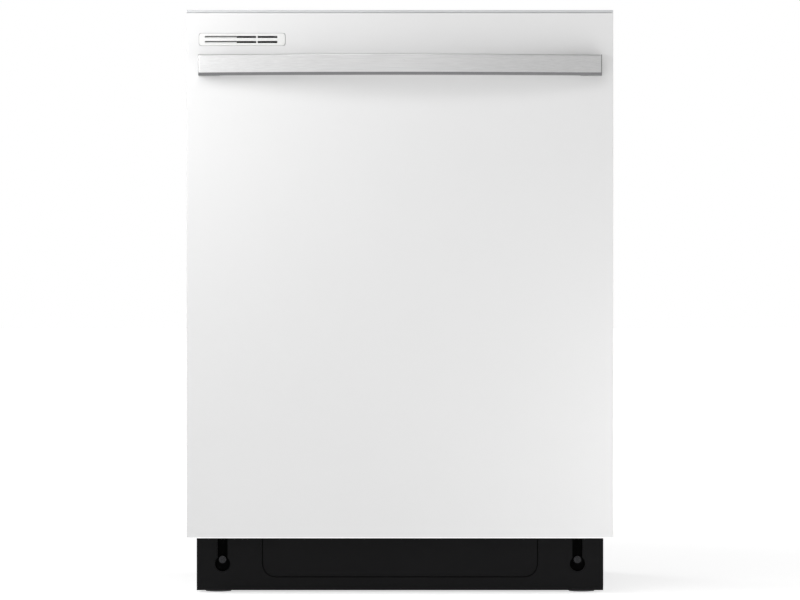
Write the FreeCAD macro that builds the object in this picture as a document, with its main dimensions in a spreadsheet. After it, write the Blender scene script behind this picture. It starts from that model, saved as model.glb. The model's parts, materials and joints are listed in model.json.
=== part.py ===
import FreeCAD, Part

import math
import os
import re

import Sketcher

# A built-in dishwasher, 24 inch class, in millimetres.
# X runs to the right, Y to the back and Z up. The origin is on the floor, at the middle of the footprint.
# The front of the door looks along -Y. Every size comes from the spreadsheet "dims".

DIMENSIONS = {
    # envelope and door
    "door_width": 606.0,
    "door_low": 81.5,
    "door_high": 832.0,
    "door_face": -274.0,
    "skin_gauge": 1.2,
    "skin_return": 24.0,
    "skin_round": 1.6,
    "lip_height": 2.8,
    "lip_seam": 1.2,
    "liner_face": -219.0,
    "liner_half": 299.0,
    "liner_front": -262.0,
    "liner_low": 112.0,
    "liner_high": 808.0,
    "liner_rib": 3.0,
    # door hinge: pivot, tail and counterbalance
    "pivot_back": -232.0,
    "pivot_up": 108.0,
    "pivot_radius": 5.0,
    "tail_reach": 30.0,
    "tail_pin": 4.0,
    "arm_inner": 284.0,
    "arm_gauge": 3.0,
    "link_inner": 287.6,
    "bracket_inner": 292.35,
    "run_gap": 0.05,
    "spring_coil": 6.0,
    "spring_wire": 1.1,
    "spring_front": -92.0,
    "spring_back": 118.0,
    # handle
    "handle_half": 286.0,
    "handle_low": 738.2,
    "handle_high": 768.0,
    "handle_depth": 42.0,
    "handle_end": 20.0,
    "handle_wall": 7.0,
    "handle_bolt": 272.0,
    # vent, upper left of the door
    "vent_middle": -224.3,
    "vent_up": 790.1,
    "vent_length": 122.0,
    "vent_height": 17.2,
    "vent_slot": 3.0,
    "vent_pitch": 7.2,
    "vent_travel": 50.0,
    # tub
    "tub_half": 271.5,
    "tub_gauge": 1.5,
    "tub_front": -206.5,
    "tub_back": 301.5,
    "tub_top": 791.5,
    "tub_low": 121.7,
    "flange_half": 282.0,
    "flange_top": 806.0,
    "floor_low": 100.0,
    "floor_top": 114.0,
    "floor_wall": 3.0,
    "ledge_top": 121.6,
    "ledge_inner": 243.0,
    "lip_top": 119.0,
    "well_right": 95.0,
    "well_back": -35.0,
    "well_radius": 61.0,
    "well_low": 71.0,
    "hub_back": 48.0,
    # base
    "base_half": 292.3,
    "base_front": -195.0,
    "base_back": 316.0,
    "base_low": 8.0,
    "base_high": 104.0,
    "pan_top": 10.5,
    "base_wall": 3.0,
    "kick_half": 292.0,
    "kick_face": -200.0,
    "kick_low": 3.0,
    "kick_high": 98.0,
    "kick_gauge": 1.5,
    "kick_slot": 255.0,
    "kick_recess": 7.2,
    "kick_dish": 11.0,
    "kick_dish_up": 41.0,
    "kick_screw": 47.0,
    "foot_right": 262.0,
    "foot_front": -165.0,
    "foot_back": 285.0,
    # racks
    "wire": 1.9,
    "rim_wire": 2.6,
    "rack_front": -190.0,
    "rack_back": 272.0,
    "lower_half": 238.0,
    "lower_floor": 152.0,
    "lower_rim": 300.0,
    "lower_toe": 40.0,
    "wheel_radius": 17.0,
    "wheel_up": 139.0,
    "upper_half": 232.0,
    "upper_floor": 506.0,
    "upper_rim": 640.0,
    "rail_up": 569.0,
    "rail_inner": 243.0,
    "rail_height": 28.0,
    "roller_radius": 11.5,
    "tine_height": 84.0,
    # spray arms
    "arm_length": 460.0,
    "arm_width": 44.0,
    "lower_arm_up": 131.0,
    "upper_arm_up": 466.0,
    "top_arm_up": 752.0,
    # drain and filler hoses
    "drain_radius": 9.5,
    "fill_radius": 7.0,
}

doc = FreeCAD.newDocument("dishwasher")
dims = doc.addObject("Spreadsheet::Sheet", "dims")
for row, (alias, value) in enumerate(DIMENSIONS.items(), start=1):
    dims.set(f"A{row}", alias)
    dims.set(f"B{row}", str(value))
    dims.setAlias(f"B{row}", alias)
doc.recompute()

NODES = []
X, Y, Z = FreeCAD.Vector(1, 0, 0), FreeCAD.Vector(0, 1, 0), FreeCAD.Vector(0, 0, 1)
UPRIGHT = FreeCAD.Rotation()
ALONG_X = FreeCAD.Rotation(Y, 90)
ALONG_Y = FreeCAD.Rotation(X, -90)


# ---------------------------------------------------------------- expressions

def cells(text):
    """The text as a FreeCAD expression, with each known alias read from the sheet."""
    return re.sub(r"[a-z]\w+", lambda m: "dims." + m[0] if m[0] in DIMENSIONS else m[0], str(text))


def number(text):
    """The present value of an expression, as a plain float."""
    return float(dims.evalExpression(cells(text)))


def bind(item, prop, text):
    item.setExpression(prop, cells(text))


def place(item, x, y, z, rotation=UPRIGHT):
    item.Placement = FreeCAD.Placement(FreeCAD.Vector(number(x), number(y), number(z)), rotation)
    for axis, text in zip("xyz", (x, y, z)):
        bind(item, f"Placement.Base.{axis}", text)


# ---------------------------------------------------------------- Part primitives and booleans

def box(name, x, y, z):
    """A box from three (low, high) pairs of expressions."""
    item = doc.addObject("Part::Box", name)
    for prop, (low, high) in zip(("Length", "Width", "Height"), (x, y, z)):
        bind(item, prop, f"({high}) - ({low})")
    place(item, x[0], y[0], z[0])
    return item


def rod(name, radius, length, x, y, z, rotation=UPRIGHT):
    """A cylinder that starts at x, y, z and runs along its rotated axis."""
    item = doc.addObject("Part::Cylinder", name)
    bind(item, "Radius", radius)
    bind(item, "Height", length)
    place(item, x, y, z, rotation)
    return item


def cut(name, base, *tools):
    item = doc.addObject("Part::Cut", name)
    item.Base = base
    item.Tool = tools[0] if len(tools) == 1 else fuse(name + "_tools", *tools)
    return item


def fuse(name, *shapes):
    item = doc.addObject("Part::MultiFuse", name)
    item.Shapes = list(shapes)
    return item


def group(name, *items):
    """Separate solids kept together as one node."""
    item = doc.addObject("Part::Compound", name)
    item.Links = list(items)
    return item


def mirrored(name, source, normal=X):
    item = doc.addObject("Part::Mirroring", name)
    item.Source = source
    item.Normal = normal
    return item


def both_sides(name, right):
    """The right-hand piece and its mirror image, as one node of two solids."""
    return group(name, right, mirrored(name + "_left", right))


def rounded(name, base, radius, wanted, kind="Part::Fillet"):
    """A Part fillet or chamfer on the edges of base that wanted(edge) picks."""
    doc.recompute()
    item = doc.addObject(kind, name)
    item.Base = base
    size = number(radius)
    item.Edges = [(n, size, size) for n, edge in enumerate(base.Shape.Edges, start=1) if wanted(edge)]
    return item


def runs_along(edge, axis):
    return len(edge.Vertexes) == 2 and abs(abs(edge.tangentAt(edge.FirstParameter).dot(axis)) - 1) < 1e-6


def node(item, label):
    """Names a finished sub-part. Its label is the name of its file."""
    item.Label = label
    NODES.append(item)
    return item


# ---------------------------------------------------------------- PartDesign bodies

def body(name):
    return doc.addObject("PartDesign::Body", name)


def sketch(owner, name, plane, offset):
    """An empty sketch on one of the body's own origin planes, moved along its normal."""
    item = owner.newObject("Sketcher::SketchObject", name)
    support = next(f for f in owner.Origin.OriginFeatures if f.Role == plane)
    item.AttachmentSupport = [(support, "")]
    item.MapMode = "FlatFace"
    bind(item, "AttachmentOffset.Base.z", offset)
    return item


def outline(item, points):
    """A closed polygon whose corners are bound to expressions."""
    values = [tuple(number(t) for t in p) for p in points]
    first = item.GeometryCount
    total = len(points)
    for n in range(total):
        start, end = values[n], values[(n + 1) % total]
        item.addGeometry(Part.LineSegment(FreeCAD.Vector(*start, 0), FreeCAD.Vector(*end, 0)), False)
    for n in range(total):
        item.addConstraint(Sketcher.Constraint("Coincident", first + n, 2, first + (n + 1) % total, 1))
        for kind, text, value in zip(("DistanceX", "DistanceY"), points[n], values[n]):
            made = item.addConstraint(Sketcher.Constraint(kind, -1, 1, first + n, 1, value))
            bind(item, f"Constraints[{made}]", text)


def rectangle(item, x, y):
    outline(item, [(x[0], y[0]), (x[1], y[0]), (x[1], y[1]), (x[0], y[1])])


def circle(item, x, y, radius):
    centre = FreeCAD.Vector(number(x), number(y), 0)
    made = item.addGeometry(Part.Circle(centre, Z, number(radius)), False)
    for kind, text, value in (("DistanceX", x, centre.x), ("DistanceY", y, centre.y)):
        fixed = item.addConstraint(Sketcher.Constraint(kind, -1, 1, made, 3, value))
        bind(item, f"Constraints[{fixed}]", text)
    fixed = item.addConstraint(Sketcher.Constraint("Radius", made, number(radius)))
    bind(item, f"Constraints[{fixed}]", radius)


def pad(owner, profile, length):
    """Adds material from the sketch, towards the sketch's own normal."""
    item = owner.newObject("PartDesign::Pad", profile.Name + "_pad")
    item.Profile = profile
    bind(item, "Length", length)
    profile.Visibility = False
    return item


def pocket(owner, profile, length, reverse=True):
    """Cuts from the sketch along its normal when reverse is true, and against it when not."""
    item = owner.newObject("PartDesign::Pocket", profile.Name + "_pocket")
    item.Profile = profile
    item.Reversed = reverse
    bind(item, "Length", length)
    return item


def turn(owner, profile, axis, kind="PartDesign::Revolution"):
    """A full turn of the sketch about one of its own axes, H_Axis or V_Axis."""
    item = owner.newObject(kind, profile.Name + "_turn")
    item.Profile = profile
    item.ReferenceAxis = (profile, [axis])
    item.Angle = 360
    return item


def turned(name, points, x="0", y="0", z="0", rotation=UPRIGHT):
    """A body of revolution about its own Z: points are (radius, height) of half the section."""
    made = body(name)
    profile = sketch(made, name + "_section", "XZ_Plane", "0")
    outline(profile, points)
    turn(made, profile, "V_Axis")
    place(made, x, y, z, rotation)
    return made


def round_over(owner, radius, wanted, kind="PartDesign::Fillet"):
    """Fillets the edges of the body's present shape that wanted(edge) picks."""
    doc.recompute()
    tip = owner.Tip
    names = [f"Edge{n}" for n, edge in enumerate(tip.Shape.Edges, start=1) if wanted(edge)]
    item = owner.newObject(kind, tip.Name + "_round")
    item.Base = (tip, names)
    bind(item, "Radius" if kind.endswith("Fillet") else "Size", radius)
    return item


# ---------------------------------------------------------------- door: outside

def door_skin():
    """The painted steel outer panel: a shallow tray with side and bottom returns, open at the top."""
    made = body("skin")
    half, top = "door_width / 2", "door_high - lip_height - lip_seam"
    front = sketch(made, "skin_front", "XZ_Plane", "-door_face - skin_return")
    rectangle(front, (f"-{half}", half), ("door_low", top))
    pad(made, front, "skin_return")
    inside = sketch(made, "skin_inside", "XZ_Plane", "-door_face - skin_return")
    rectangle(inside, (f"-{half} + skin_gauge", f"{half} - skin_gauge"),
              ("door_low + skin_gauge", f"{top} + 5"))
    pocket(made, inside, "skin_return - skin_gauge")
    window = sketch(made, "skin_window", "XZ_Plane", "-door_face - skin_return")
    rectangle(window, ("vent_middle - vent_length / 2 + 4", "vent_middle + vent_length / 2 - 4"),
              ("vent_up - vent_height / 2 + 2.5", "vent_up + vent_height / 2 - 2.5"))
    pocket(made, window, "skin_return + 5")
    bolts = sketch(made, "skin_bolts", "XZ_Plane", "-door_face - skin_return")
    for x in ("handle_bolt", "-handle_bolt"):
        circle(bolts, x, "(handle_low + handle_high) / 2", "2.7")
    pocket(made, bolts, "skin_return + 5")
    face = number("door_face")
    half_width = number("door_width / 2")
    round_over(made, "skin_round / 2", lambda e: all(abs(v.Y - face) < 0.01 for v in e.Vertexes)
               and (all(abs(abs(v.X) - half_width) < 0.01 for v in e.Vertexes)
                    or all(abs(v.Z - number("door_low")) < 0.01 for v in e.Vertexes)))
    return node(made, "door_skin")


def door_liner():
    """The stainless inner panel: a tray that closes the back of the door and presses on the seal."""
    half = "liner_half"
    gauge = "skin_gauge"
    tray = box("liner_tray", (f"-{half}", half), ("liner_front", "liner_face"), ("liner_low", "liner_high"))
    hollow = box("liner_hollow", (f"-{half} + {gauge}", f"{half} - {gauge}"),
                 ("liner_front - 1", f"liner_face - {gauge}"),
                 (f"liner_low + {gauge}", f"liner_high - {gauge}"))
    corners = [box(f"liner_corner_{side}", x, ("liner_front - 1", "liner_face + 1"),
                   ("liner_low - 1", "liner_low + 53"))
               for side, x in (("right", ("arm_inner - 1", f"{half} + 1")),
                               ("left", (f"-{half} - 1", "-arm_inner + 1")))]
    dispenser = box("liner_dispenser_hole", ("-95", "95"), (f"liner_face - {gauge} - 1", "liner_face + 1"),
                    ("352", "498"))
    holes = [rod(f"liner_screw_hole_{n}", "2.1", "4", x, "liner_face - 3", z, ALONG_Y)
             for n, (x, z) in enumerate(LINER_SCREWS)]
    blank = cut("liner_blank", tray, hollow, dispenser, *corners, *holes)
    return node(rounded("liner", blank, "4", lambda e: runs_along(e, Y) and e.Length > 40
                        and abs(e.Vertexes[0].X) > number("liner_half") - 0.1), "door_liner")


LINER_SCREWS = [(x, z) for x in ("-291", "291") for z in ("210", "400", "590", "770")]


def control_panel():
    """The moulded cap along the top of the door: a 2.8 mm lip over the skin and a hollow box below it."""
    lip_low = "door_high - lip_height"
    lip = box("panel_lip", ("-door_width / 2", "door_width / 2"), ("door_face", "liner_face"),
              (lip_low, "door_high"))
    lip = rounded("panel_lip_round", lip, "skin_round / 2",
                  lambda e: abs(e.Vertexes[0].Z - number("door_high")) < 0.01 and e.Length > 60)
    shell = box("panel_shell", ("-301", "301"), ("door_face + 2", "liner_face"),
                ("liner_high + 0.4", f"{lip_low} + 1"))
    hollow = box("panel_hollow", ("-299", "299"), ("door_face + 4", "liner_face - 2"),
                 ("liner_high - 1", lip_low))
    recess = box("panel_recess", ("-250", "250"), ("-262", "-236"), ("door_high - 1", "door_high + 1"))
    latch_slot = box("panel_latch_slot", ("-16", "16"), ("liner_face - 3", "liner_face + 1"), ("812", "824"))
    shell = cut("panel_case", fuse("panel_solid", lip, shell), hollow, recess, latch_slot)
    posts = [rod(f"panel_post_{n}", "3", f"{lip_low} + 0.1 - 822.62", x, y, "822.62")
             for n, (x, y) in enumerate((("68", "-259"), ("222", "-259"), ("68", "-239"), ("222", "-239")))]
    return node(fuse("panel", shell, *posts), "control_panel")


def touch_strip():
    """The smooth inlay on the panel's top that carries the touch pads, flush with the lip."""
    made = body("strip")
    area = sketch(made, "strip_area", "XY_Plane", "door_high - 1")
    rectangle(area, ("-249.8", "249.8"), ("-261.8", "-236.2"))
    pad(made, area, "1")
    round_over(made, "4", lambda e: runs_along(e, Z))
    return node(made, "touch_strip")


def control_board():
    """The electronics under the touch strip: a board with a relay, a capacitor and a connector row."""
    board = box("board_plate", ("60", "230"), ("-264", "-234"), ("821", "822.6"))
    relay = box("board_relay", ("80", "98"), ("-260", "-246"), ("812", "821"))
    buzzer = rod("board_capacitor", "5", "9", "120", "-250", "812")
    plug = box("board_plug", ("150", "190"), ("-246", "-238"), ("813", "821"))
    return node(fuse("board", board, relay, buzzer, plug), "control_board")


def bow(name, half_chord, middle, end, low, high):
    """An upright drum whose front is the handle's arc: `end` deep at half_chord, `middle` deep at x = 0."""
    rise = f"(({middle}) - ({end}))"
    radius = f"((({half_chord})^2 + {rise}^2) / (2 * {rise}))"
    return rod(name, radius, f"({high}) - ({low})", "0", f"door_face - ({middle}) + {radius}", low)


def handle():
    """The bowed bar: a flat-faced strip that arches forward from two ends fixed to the skin."""
    low, high, face = "handle_low", "handle_high", "door_face"
    block = box("bar_block", ("-handle_half", "handle_half"), (f"{face} - handle_depth - 1", face),
                (low, high))
    front = bow("bar_front", "handle_half", "handle_depth", "handle_end", low, high)
    solid = doc.addObject("Part::MultiCommon", "bar_blank")
    solid.Shapes = [block, front]
    span = "handle_half - 30"
    opening = box("bar_opening", (f"-({span})", span), (f"{face} - handle_depth", f"{face} + 1"),
                  (f"{low} - 1", f"{high} + 1"))
    back = bow("bar_back", span, "handle_depth - handle_wall", "handle_end - handle_wall + 3", f"{low} - 1",
               f"{high} + 1")
    gap = doc.addObject("Part::MultiCommon", "bar_gap")
    gap.Shapes = [opening, back]
    bolts = [rod(f"bar_bolt_hole_{n}", "2.7", "12", x, f"{face} - 11", f"({low} + {high}) / 2", ALONG_Y)
             for n, x in enumerate(("handle_bolt", "-handle_bolt"))]
    bar = cut("bar", solid, gap, *bolts)
    edge_back = number(f"{face} - handle_end + 1")

    def on_front(edge, up):
        corner = edge.Vertexes[0]
        return edge.Length > 500 and corner.Y < edge_back and abs(corner.Z - number(up)) < 0.01

    bar = rounded("bar_bevel", bar, "4", lambda e: on_front(e, low), "Part::Chamfer")
    bar = rounded("bar_soft_top", bar, "2.4", lambda e: on_front(e, high))
    bar = rounded("bar_soft_ends", bar, "1.2", lambda e: runs_along(e, Z) and e.Vertexes[0].Y < edge_back
                  and abs(e.Vertexes[0].X) > number("handle_half - 1"))
    return node(bar, "handle")


def vent_grille():
    """The two-slot vent bezel: the outer half of each slot is a blind groove, the inner half is open."""
    long_half, tall_half = "vent_length / 2", "vent_height / 2"
    x0, x1 = f"vent_middle - {long_half}", f"vent_middle + {long_half}"
    bezel = box("vent_bezel", (x0, x1), ("door_face - 0.8", "door_face"),
                (f"vent_up - {tall_half}", f"vent_up + {tall_half}"))
    bezel = rounded("vent_bezel_round", bezel, "4.3", lambda e: runs_along(e, Y))
    neck = box("vent_neck", (f"{x0} + 4.4", f"{x1} - 4.4"), ("door_face - 0.1", "door_face + 9"),
               (f"vent_up - {tall_half} + 2.9", f"vent_up + {tall_half} - 2.9"))
    tools = []
    for n, up in enumerate(("vent_up + vent_pitch / 2", "vent_up - vent_pitch / 2")):
        z = (f"{up} - vent_slot / 2", f"{up} + vent_slot / 2")
        tools.append(box(f"vent_blind_{n}", ("vent_middle - 53", "vent_middle - 8"),
                         ("door_face - 1", "door_face + 1.6"), z))
        for part, x in enumerate((("vent_middle - 8", "vent_middle + 20"),
                                  ("vent_middle + 22", "vent_middle + 50"))):
            tools.append(box(f"vent_open_{n}_{part}", x, ("door_face - 2", "door_face + 10"), z))
    ears = [box(f"vent_ear_{n}", x, ("door_face + 8", "door_face + 19"), ("790", "800"))
            for n, x in enumerate((("vent_middle - 13", "vent_middle - 11"),
                                   ("vent_middle + 54.6", "vent_middle + 56.6")))]
    tools.append(rod("vent_ear_bore", "1.6 + run_gap", "80", "vent_middle - 16", "door_face + 15.8", "796.4",
                     ALONG_X))
    return node(cut("vent", fuse("vent_solid", bezel, neck, *ears), *tools), "vent_grille")


def vent_flap():
    """The flap behind the open slots that shuts the vent while the machine washes."""
    blade = box("flap_blade", ("vent_middle - 10", "vent_middle + 54"),
                ("door_face + 15.2", "door_face + 16.4"), ("779", "795"))
    axle = rod("flap_axle", "1.6", "72", "vent_middle - 15", "door_face + 15.8", "796.4", ALONG_X)
    return node(fuse("flap", blade, axle), "vent_flap")


def door_screws():
    """The screws that hold the inner panel, and the two bolts that hold the handle."""
    screws = []
    for n, (x, z) in enumerate(LINER_SCREWS):
        head = rod(f"liner_screw_head_{n}", "4", "2", x, "liner_face + 0.02", z, ALONG_Y)
        shank = rod(f"liner_screw_shank_{n}", "2", "9", x, "liner_face - 8.9", z, ALONG_Y)
        screws.append(fuse(f"liner_screw_{n}", head, shank))
    for side in (1, -1):
        x = f"{side} * handle_bolt"
        z = "(handle_low + handle_high) / 2"
        name = "handle_bolt_left" if side < 0 else "handle_bolt_right"
        head = rod(name + "_head", "5.5", "4", x, "door_face + skin_gauge + 0.02", z, ALONG_Y)
        screws.append(fuse(name, head, rod(name + "_shank", "2.6", "12", x, "door_face - 10", z, ALONG_Y)))
    return node(group("screws", *screws), "door_screws")


# ---------------------------------------------------------------- door: inside

def dispenser_body():
    """The detergent and rinse-aid dispenser: a moulded box with an open cup, set in the inner panel."""
    block = box("dispenser_block", ("-94", "94"), ("liner_face - 30", "liner_face"), ("353", "497"))
    rim = box("dispenser_rim", ("-100", "100"), ("liner_face + 0.05", "liner_face + 3"), ("347", "503"))
    rim = rounded("dispenser_rim_round", rim, "10", lambda e: runs_along(e, Y))
    neck = box("dispenser_neck", ("-93", "93"), ("liner_face - 2", "liner_face + 2"), ("354", "496"))
    wall = box("dispenser_wall", ("-86", "92"), ("liner_face + 2", "liner_face + 12"), ("358", "454"))
    cup = box("dispenser_cup", ("-78", "0"), ("liner_face - 24", "liner_face + 13"), ("372", "442"))
    runway = box("dispenser_runway", ("-82", "88"), ("liner_face + 9", "liner_face + 13"), ("365", "449"))
    mouth = rod("dispenser_mouth", "23", "7", "45", "liner_face + 2", "478", ALONG_Y)
    bore = rod("dispenser_mouth_bore", "17", "16", "45", "liner_face - 6", "478", ALONG_Y)
    solid = fuse("dispenser_solid", block, rim, neck, wall, mouth)
    return node(cut("dispenser", solid, cup, runway, bore), "dispenser_body")


def dispenser_lid():
    """The sliding lid over the detergent cup, with its finger ridge."""
    plate = box("lid_plate", ("-80.5", "2"), ("liner_face + 9.4", "liner_face + 11.8"), ("366", "448"))
    ridge = box("lid_ridge", ("-10", "-5"), ("liner_face + 11", "liner_face + 14.6"), ("380", "434"))
    return node(rounded("lid", fuse("lid_solid", plate, ridge), "0.8",
                        lambda e: runs_along(e, Z) and e.Vertexes[0].Y > number("liner_face + 14")),
                        "dispenser_lid")


def rinse_cap():
    """The rinse-aid cap: a plug with a grip bar across it."""
    plug = "17 - run_gap"
    made = turned("cap", [("0", "0"), (plug, "0"), (plug, "9.4"), ("20", "9.4"), ("20", "12"), ("0", "12")],
                  "45", "liner_face", "478", ALONG_Y)
    grip = box("cap_grip", ("30", "60"), ("liner_face + 11", "liner_face + 15.5"), ("475.5", "480.5"))
    return node(fuse("cap_solid", made, grip), "rinse_cap")


def latch_housing():
    """The latch box in the middle of the door's top, with a mouth for the striker."""
    block = box("latch_block", ("-34", "34"), ("-260", "-221.4"), ("809.4", "828"))
    cavity = box("latch_cavity", ("-13", "13"), ("-257", "-221"), ("810.8", "825"))
    return node(cut("latch", block, cavity), "latch_housing")


def latch_pawl():
    """The sprung pawl under the striker's path."""
    made = body("pawl")
    side = sketch(made, "pawl_side", "YZ_Plane", "-8")
    outline(side, [("-254", "812"), ("-250", "812"), ("-226", "813.4"), ("-226", "815"), ("-230", "816.4"),
                   ("-254", "815.6")])
    pad(made, side, "16")
    pin = rod("pawl_pin", "1.4", "25.6", "-12.8", "-252", "813.5", ALONG_X)
    return node(fuse("pawl_solid", made, pin), "latch_pawl")


def hinge_arms():
    """The steel hinge arms: a bar inside the door, the pivot eye and a tail with its pin."""
    y, z = "pivot_back", "pivot_up"
    made = body("arm")
    side = sketch(made, "arm_side", "YZ_Plane", "arm_inner")
    outline(side, [(f"{y} - 23", f"{z} + 12"), (f"{y} - 11", f"{z} - 7"), (f"{y} + 2", f"{z} - 12"),
                   (f"{y} + 12", f"{z} - 4"),
                   (f"{y} + tail_reach + 8", f"{z} + tail_reach - 5"),
                   (f"{y} + tail_reach + 7", f"{z} + tail_reach + 7"),
                   (f"{y} + tail_reach - 6", f"{z} + tail_reach + 8"), (f"{y} + 4", f"{z} + 16"),
                   (f"{y} + 3", f"{z} + 192"),
                   (f"{y} - 23", f"{z} + 192")])
    pad(made, side, "arm_gauge")
    hole = sketch(made, "arm_eye", "YZ_Plane", "arm_inner")
    circle(hole, y, z, "pivot_radius + run_gap")
    pocket(made, hole, "arm_gauge")
    round_over(made, "3", lambda e: runs_along(e, X))
    pin = rod("arm_pin", "tail_pin", "7.2", "arm_inner", f"{y} + tail_reach", f"{z} + tail_reach", ALONG_X)
    return node(both_sides("arms", fuse("arm_solid", made, pin)), "hinge_arms")


# ---------------------------------------------------------------- counterbalance

def hinge_links():
    """The draw bars between the hinge tails and the springs, with an upright slot for the tail pin."""
    y, z = "pivot_back + tail_reach", "pivot_up + tail_reach"
    made = body("link")
    side = sketch(made, "link_side", "YZ_Plane", "link_inner")
    outline(side, [(f"{y} - 11", f"{z} - 11"), (f"{y} + 12", f"{z} - 11"), (f"{y} + 18", f"{z} - 6"),
                   ("spring_front - 1", f"{z} - 6"),
                   ("spring_front - 1", f"{z} + 6"), (f"{y} + 18", f"{z} + 6"), (f"{y} + 12", f"{z} + 24"),
                   (f"{y} - 11", f"{z} + 24")])
    pad(made, side, "3")
    slot = sketch(made, "link_slot", "YZ_Plane", "link_inner")
    rectangle(slot, (f"{y} - tail_pin - 1.9", f"{y} + tail_pin + 1.9"),
              (f"{z} - tail_pin - 0.6", f"{z} + tail_pin + 13"))
    pocket(made, slot, "3")
    return node(both_sides("links", made), "hinge_links")


def door_springs():
    """The counterbalance springs, drawn as the closed tube each coil fills, with a hook at both ends."""
    z = "pivot_up + tail_reach"
    x = "link_inner + 1.5"
    tube = rod("spring_tube", "spring_coil", "spring_back - spring_front - 10", x, "spring_front + 4", z,
               ALONG_Y)
    bore = rod("spring_bore", "spring_coil - 2 * spring_wire", "spring_back - spring_front", x,
               "spring_front", z, ALONG_Y)
    front = rod("spring_hook_front", "spring_wire", "6", x, "spring_front - 0.98", z, ALONG_Y)
    back = rod("spring_hook_back", "spring_wire", "7", x, "spring_back - 7", z, ALONG_Y)
    caps = [box(f"spring_cap_{n}", (f"{x} - 4.6", f"{x} + 4.6"), ends, (f"{z} - 1", f"{z} + 1"))
            for n, ends in enumerate((("spring_front + 4", "spring_front + 6"),
                                      ("spring_back - 8", "spring_back - 6")))]
    return node(both_sides("springs", fuse("spring_solid", cut("spring_coils", tube, bore), front, back,
                                           *caps)), "door_springs")


def hinge_brackets():
    """The fixed hinge plates on the base, each with its pivot pin."""
    y, z = "pivot_back", "pivot_up"
    made = body("bracket")
    side = sketch(made, "bracket_side", "YZ_Plane", "bracket_inner")
    outline(side, [(f"{y} - 11", f"{z} - 6"), (f"{y} - 5", f"{z} - 10.5"), ("base_front - 8", f"{z} - 10.5"),
                   ("base_front - 3", "base_high - 20"), ("base_front + 60", "base_high - 20"),
                   ("base_front + 60", "base_high - 4"),
                   (f"{y} + 20", f"{z} + 3"), (f"{y} + 4", f"{z} + 10"), (f"{y} - 8", f"{z} + 8")])
    pad(made, side, "2.5")
    pin = rod("bracket_pin", "pivot_radius", "bracket_inner - arm_inner + 2.4", "arm_inner - 0.4", y, z,
              ALONG_X)
    return node(both_sides("brackets", fuse("bracket_solid", made, pin)), "hinge_brackets")


# ---------------------------------------------------------------- tub

def tub_walls():
    """The stainless tub: sides, back and top in one sheet, with the flange that carries the seal."""
    half, gauge = "tub_half", "tub_gauge"
    outer = box("tub_outer", (f"-{half}", half), ("tub_front", "tub_back"), ("tub_low", "tub_top"))
    inner = box("tub_inner", (f"-{half} + {gauge}", f"{half} - {gauge}"),
                ("tub_front - 1", f"tub_back - {gauge}"),
                ("tub_low - 1", f"tub_top - {gauge}"))
    flange = box("tub_flange", ("-flange_half", "flange_half"), ("tub_front", f"tub_front + {gauge}"),
                 ("tub_low", "flange_top"))
    window = box("tub_window", (f"-{half} + 0.5", f"{half} - 0.5"),
                 ("tub_front - 1", f"tub_front + {gauge} + 1"),
                 ("tub_low - 1", "tub_top - 0.5"))
    inlet = rod("tub_inlet_hole", "fill_radius + 2", "10", f"-{half} - 5", "215", "330", ALONG_X)
    sleeve = cut("tub_sleeve", outer, inner, inlet)
    return node(fuse("tub", sleeve, cut("tub_flange_ring", flange, window)), "tub_walls")


def tub_floor():
    """The moulded tub floor: wheel ledges, sump well and the post that carries the lower spray arm."""
    half, wall = "tub_half", "floor_wall"
    block = box("floor_block", (f"-{half}", half), ("tub_front", "tub_back"), ("floor_low", "ledge_top"))
    basin = box("floor_basin", ("-ledge_inner", "ledge_inner"), ("tub_front + 6.5", "tub_back - 24"),
                ("floor_top", "ledge_top + 1"))
    front = box("floor_lip", (f"-{half} - 1", f"{half} + 1"), ("tub_front - 1", "tub_front + 6.6"),
                ("lip_top", "ledge_top + 1"))
    under = box("floor_under", (f"-{half} + {wall}", f"{half} - {wall}"),
                (f"tub_front + {wall}", f"tub_back - {wall}"),
                ("floor_low - 1", f"floor_top - {wall}"))
    ledges = [box(f"floor_ledge_{side}", x, (f"tub_front + {wall}", f"tub_back - {wall}"),
                  ("floor_low", f"ledge_top - {wall}"))
              for side, x in (("right", (f"ledge_inner + {wall}", f"{half} - {wall}")),
                              ("left", (f"-{half} + {wall}", f"-ledge_inner - {wall}")))]
    well = rod("floor_well", "well_radius", "floor_top - well_low - 1", "well_right", "well_back",
               "well_low")
    post = rod("floor_post", "14", "lower_arm_up - floor_top + 0.5", "0", "hub_back", "floor_top - 2")
    stub = rod("floor_stub", "10 - run_gap", "16", "0", "hub_back", "lower_arm_up - 2")
    cap = rod("floor_arm_cap", "14", "2.4", "0", "hub_back", "lower_arm_up + 12.6")
    solid = fuse("floor_solid", cut("floor_tray", block, basin, front, under, *ledges), well, post, stub,
                 cap)
    bore = rod("floor_well_bore", f"well_radius - {wall}", "60", "well_right", "well_back",
               f"well_low + {wall}")
    drain = rod("floor_drain", "20", "20", "well_right", "well_back", "well_low - 5")
    feed = rod("floor_feed", "7", "42", "0", "hub_back", "floor_low - 1")
    leads = [rod(f"floor_heater_hole_{n}", "5", "20", x, "228", "floor_top - 10") for n,
             x in enumerate(("-30", "30"))]
    riser = box("floor_riser_hole", ("-21", "21"), ("tub_back - 21.5", "tub_back - 4"),
                ("floor_low - 1", "ledge_top + 1"))
    return node(cut("floor", solid, bore, drain, feed, riser, *leads), "tub_floor")


def door_gasket():
    """The rubber seal round the tub's mouth."""
    outer = box("gasket_outer", ("-281.5", "281.5"), ("liner_face + 0.3", "tub_front - 0.02"),
                ("112.4", "803.5"))
    inner = box("gasket_inner", ("-271.5", "271.5"), ("liner_face", "tub_front + 1"), ("118.8", "793.5"))
    ring = cut("gasket_ring", outer, inner)
    return node(rounded("gasket", ring, "2.5",
                        lambda e: abs(e.Vertexes[0].Y - number("liner_face + 0.3")) < 0.01
                        and e.Length > 500), "door_gasket")


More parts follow.
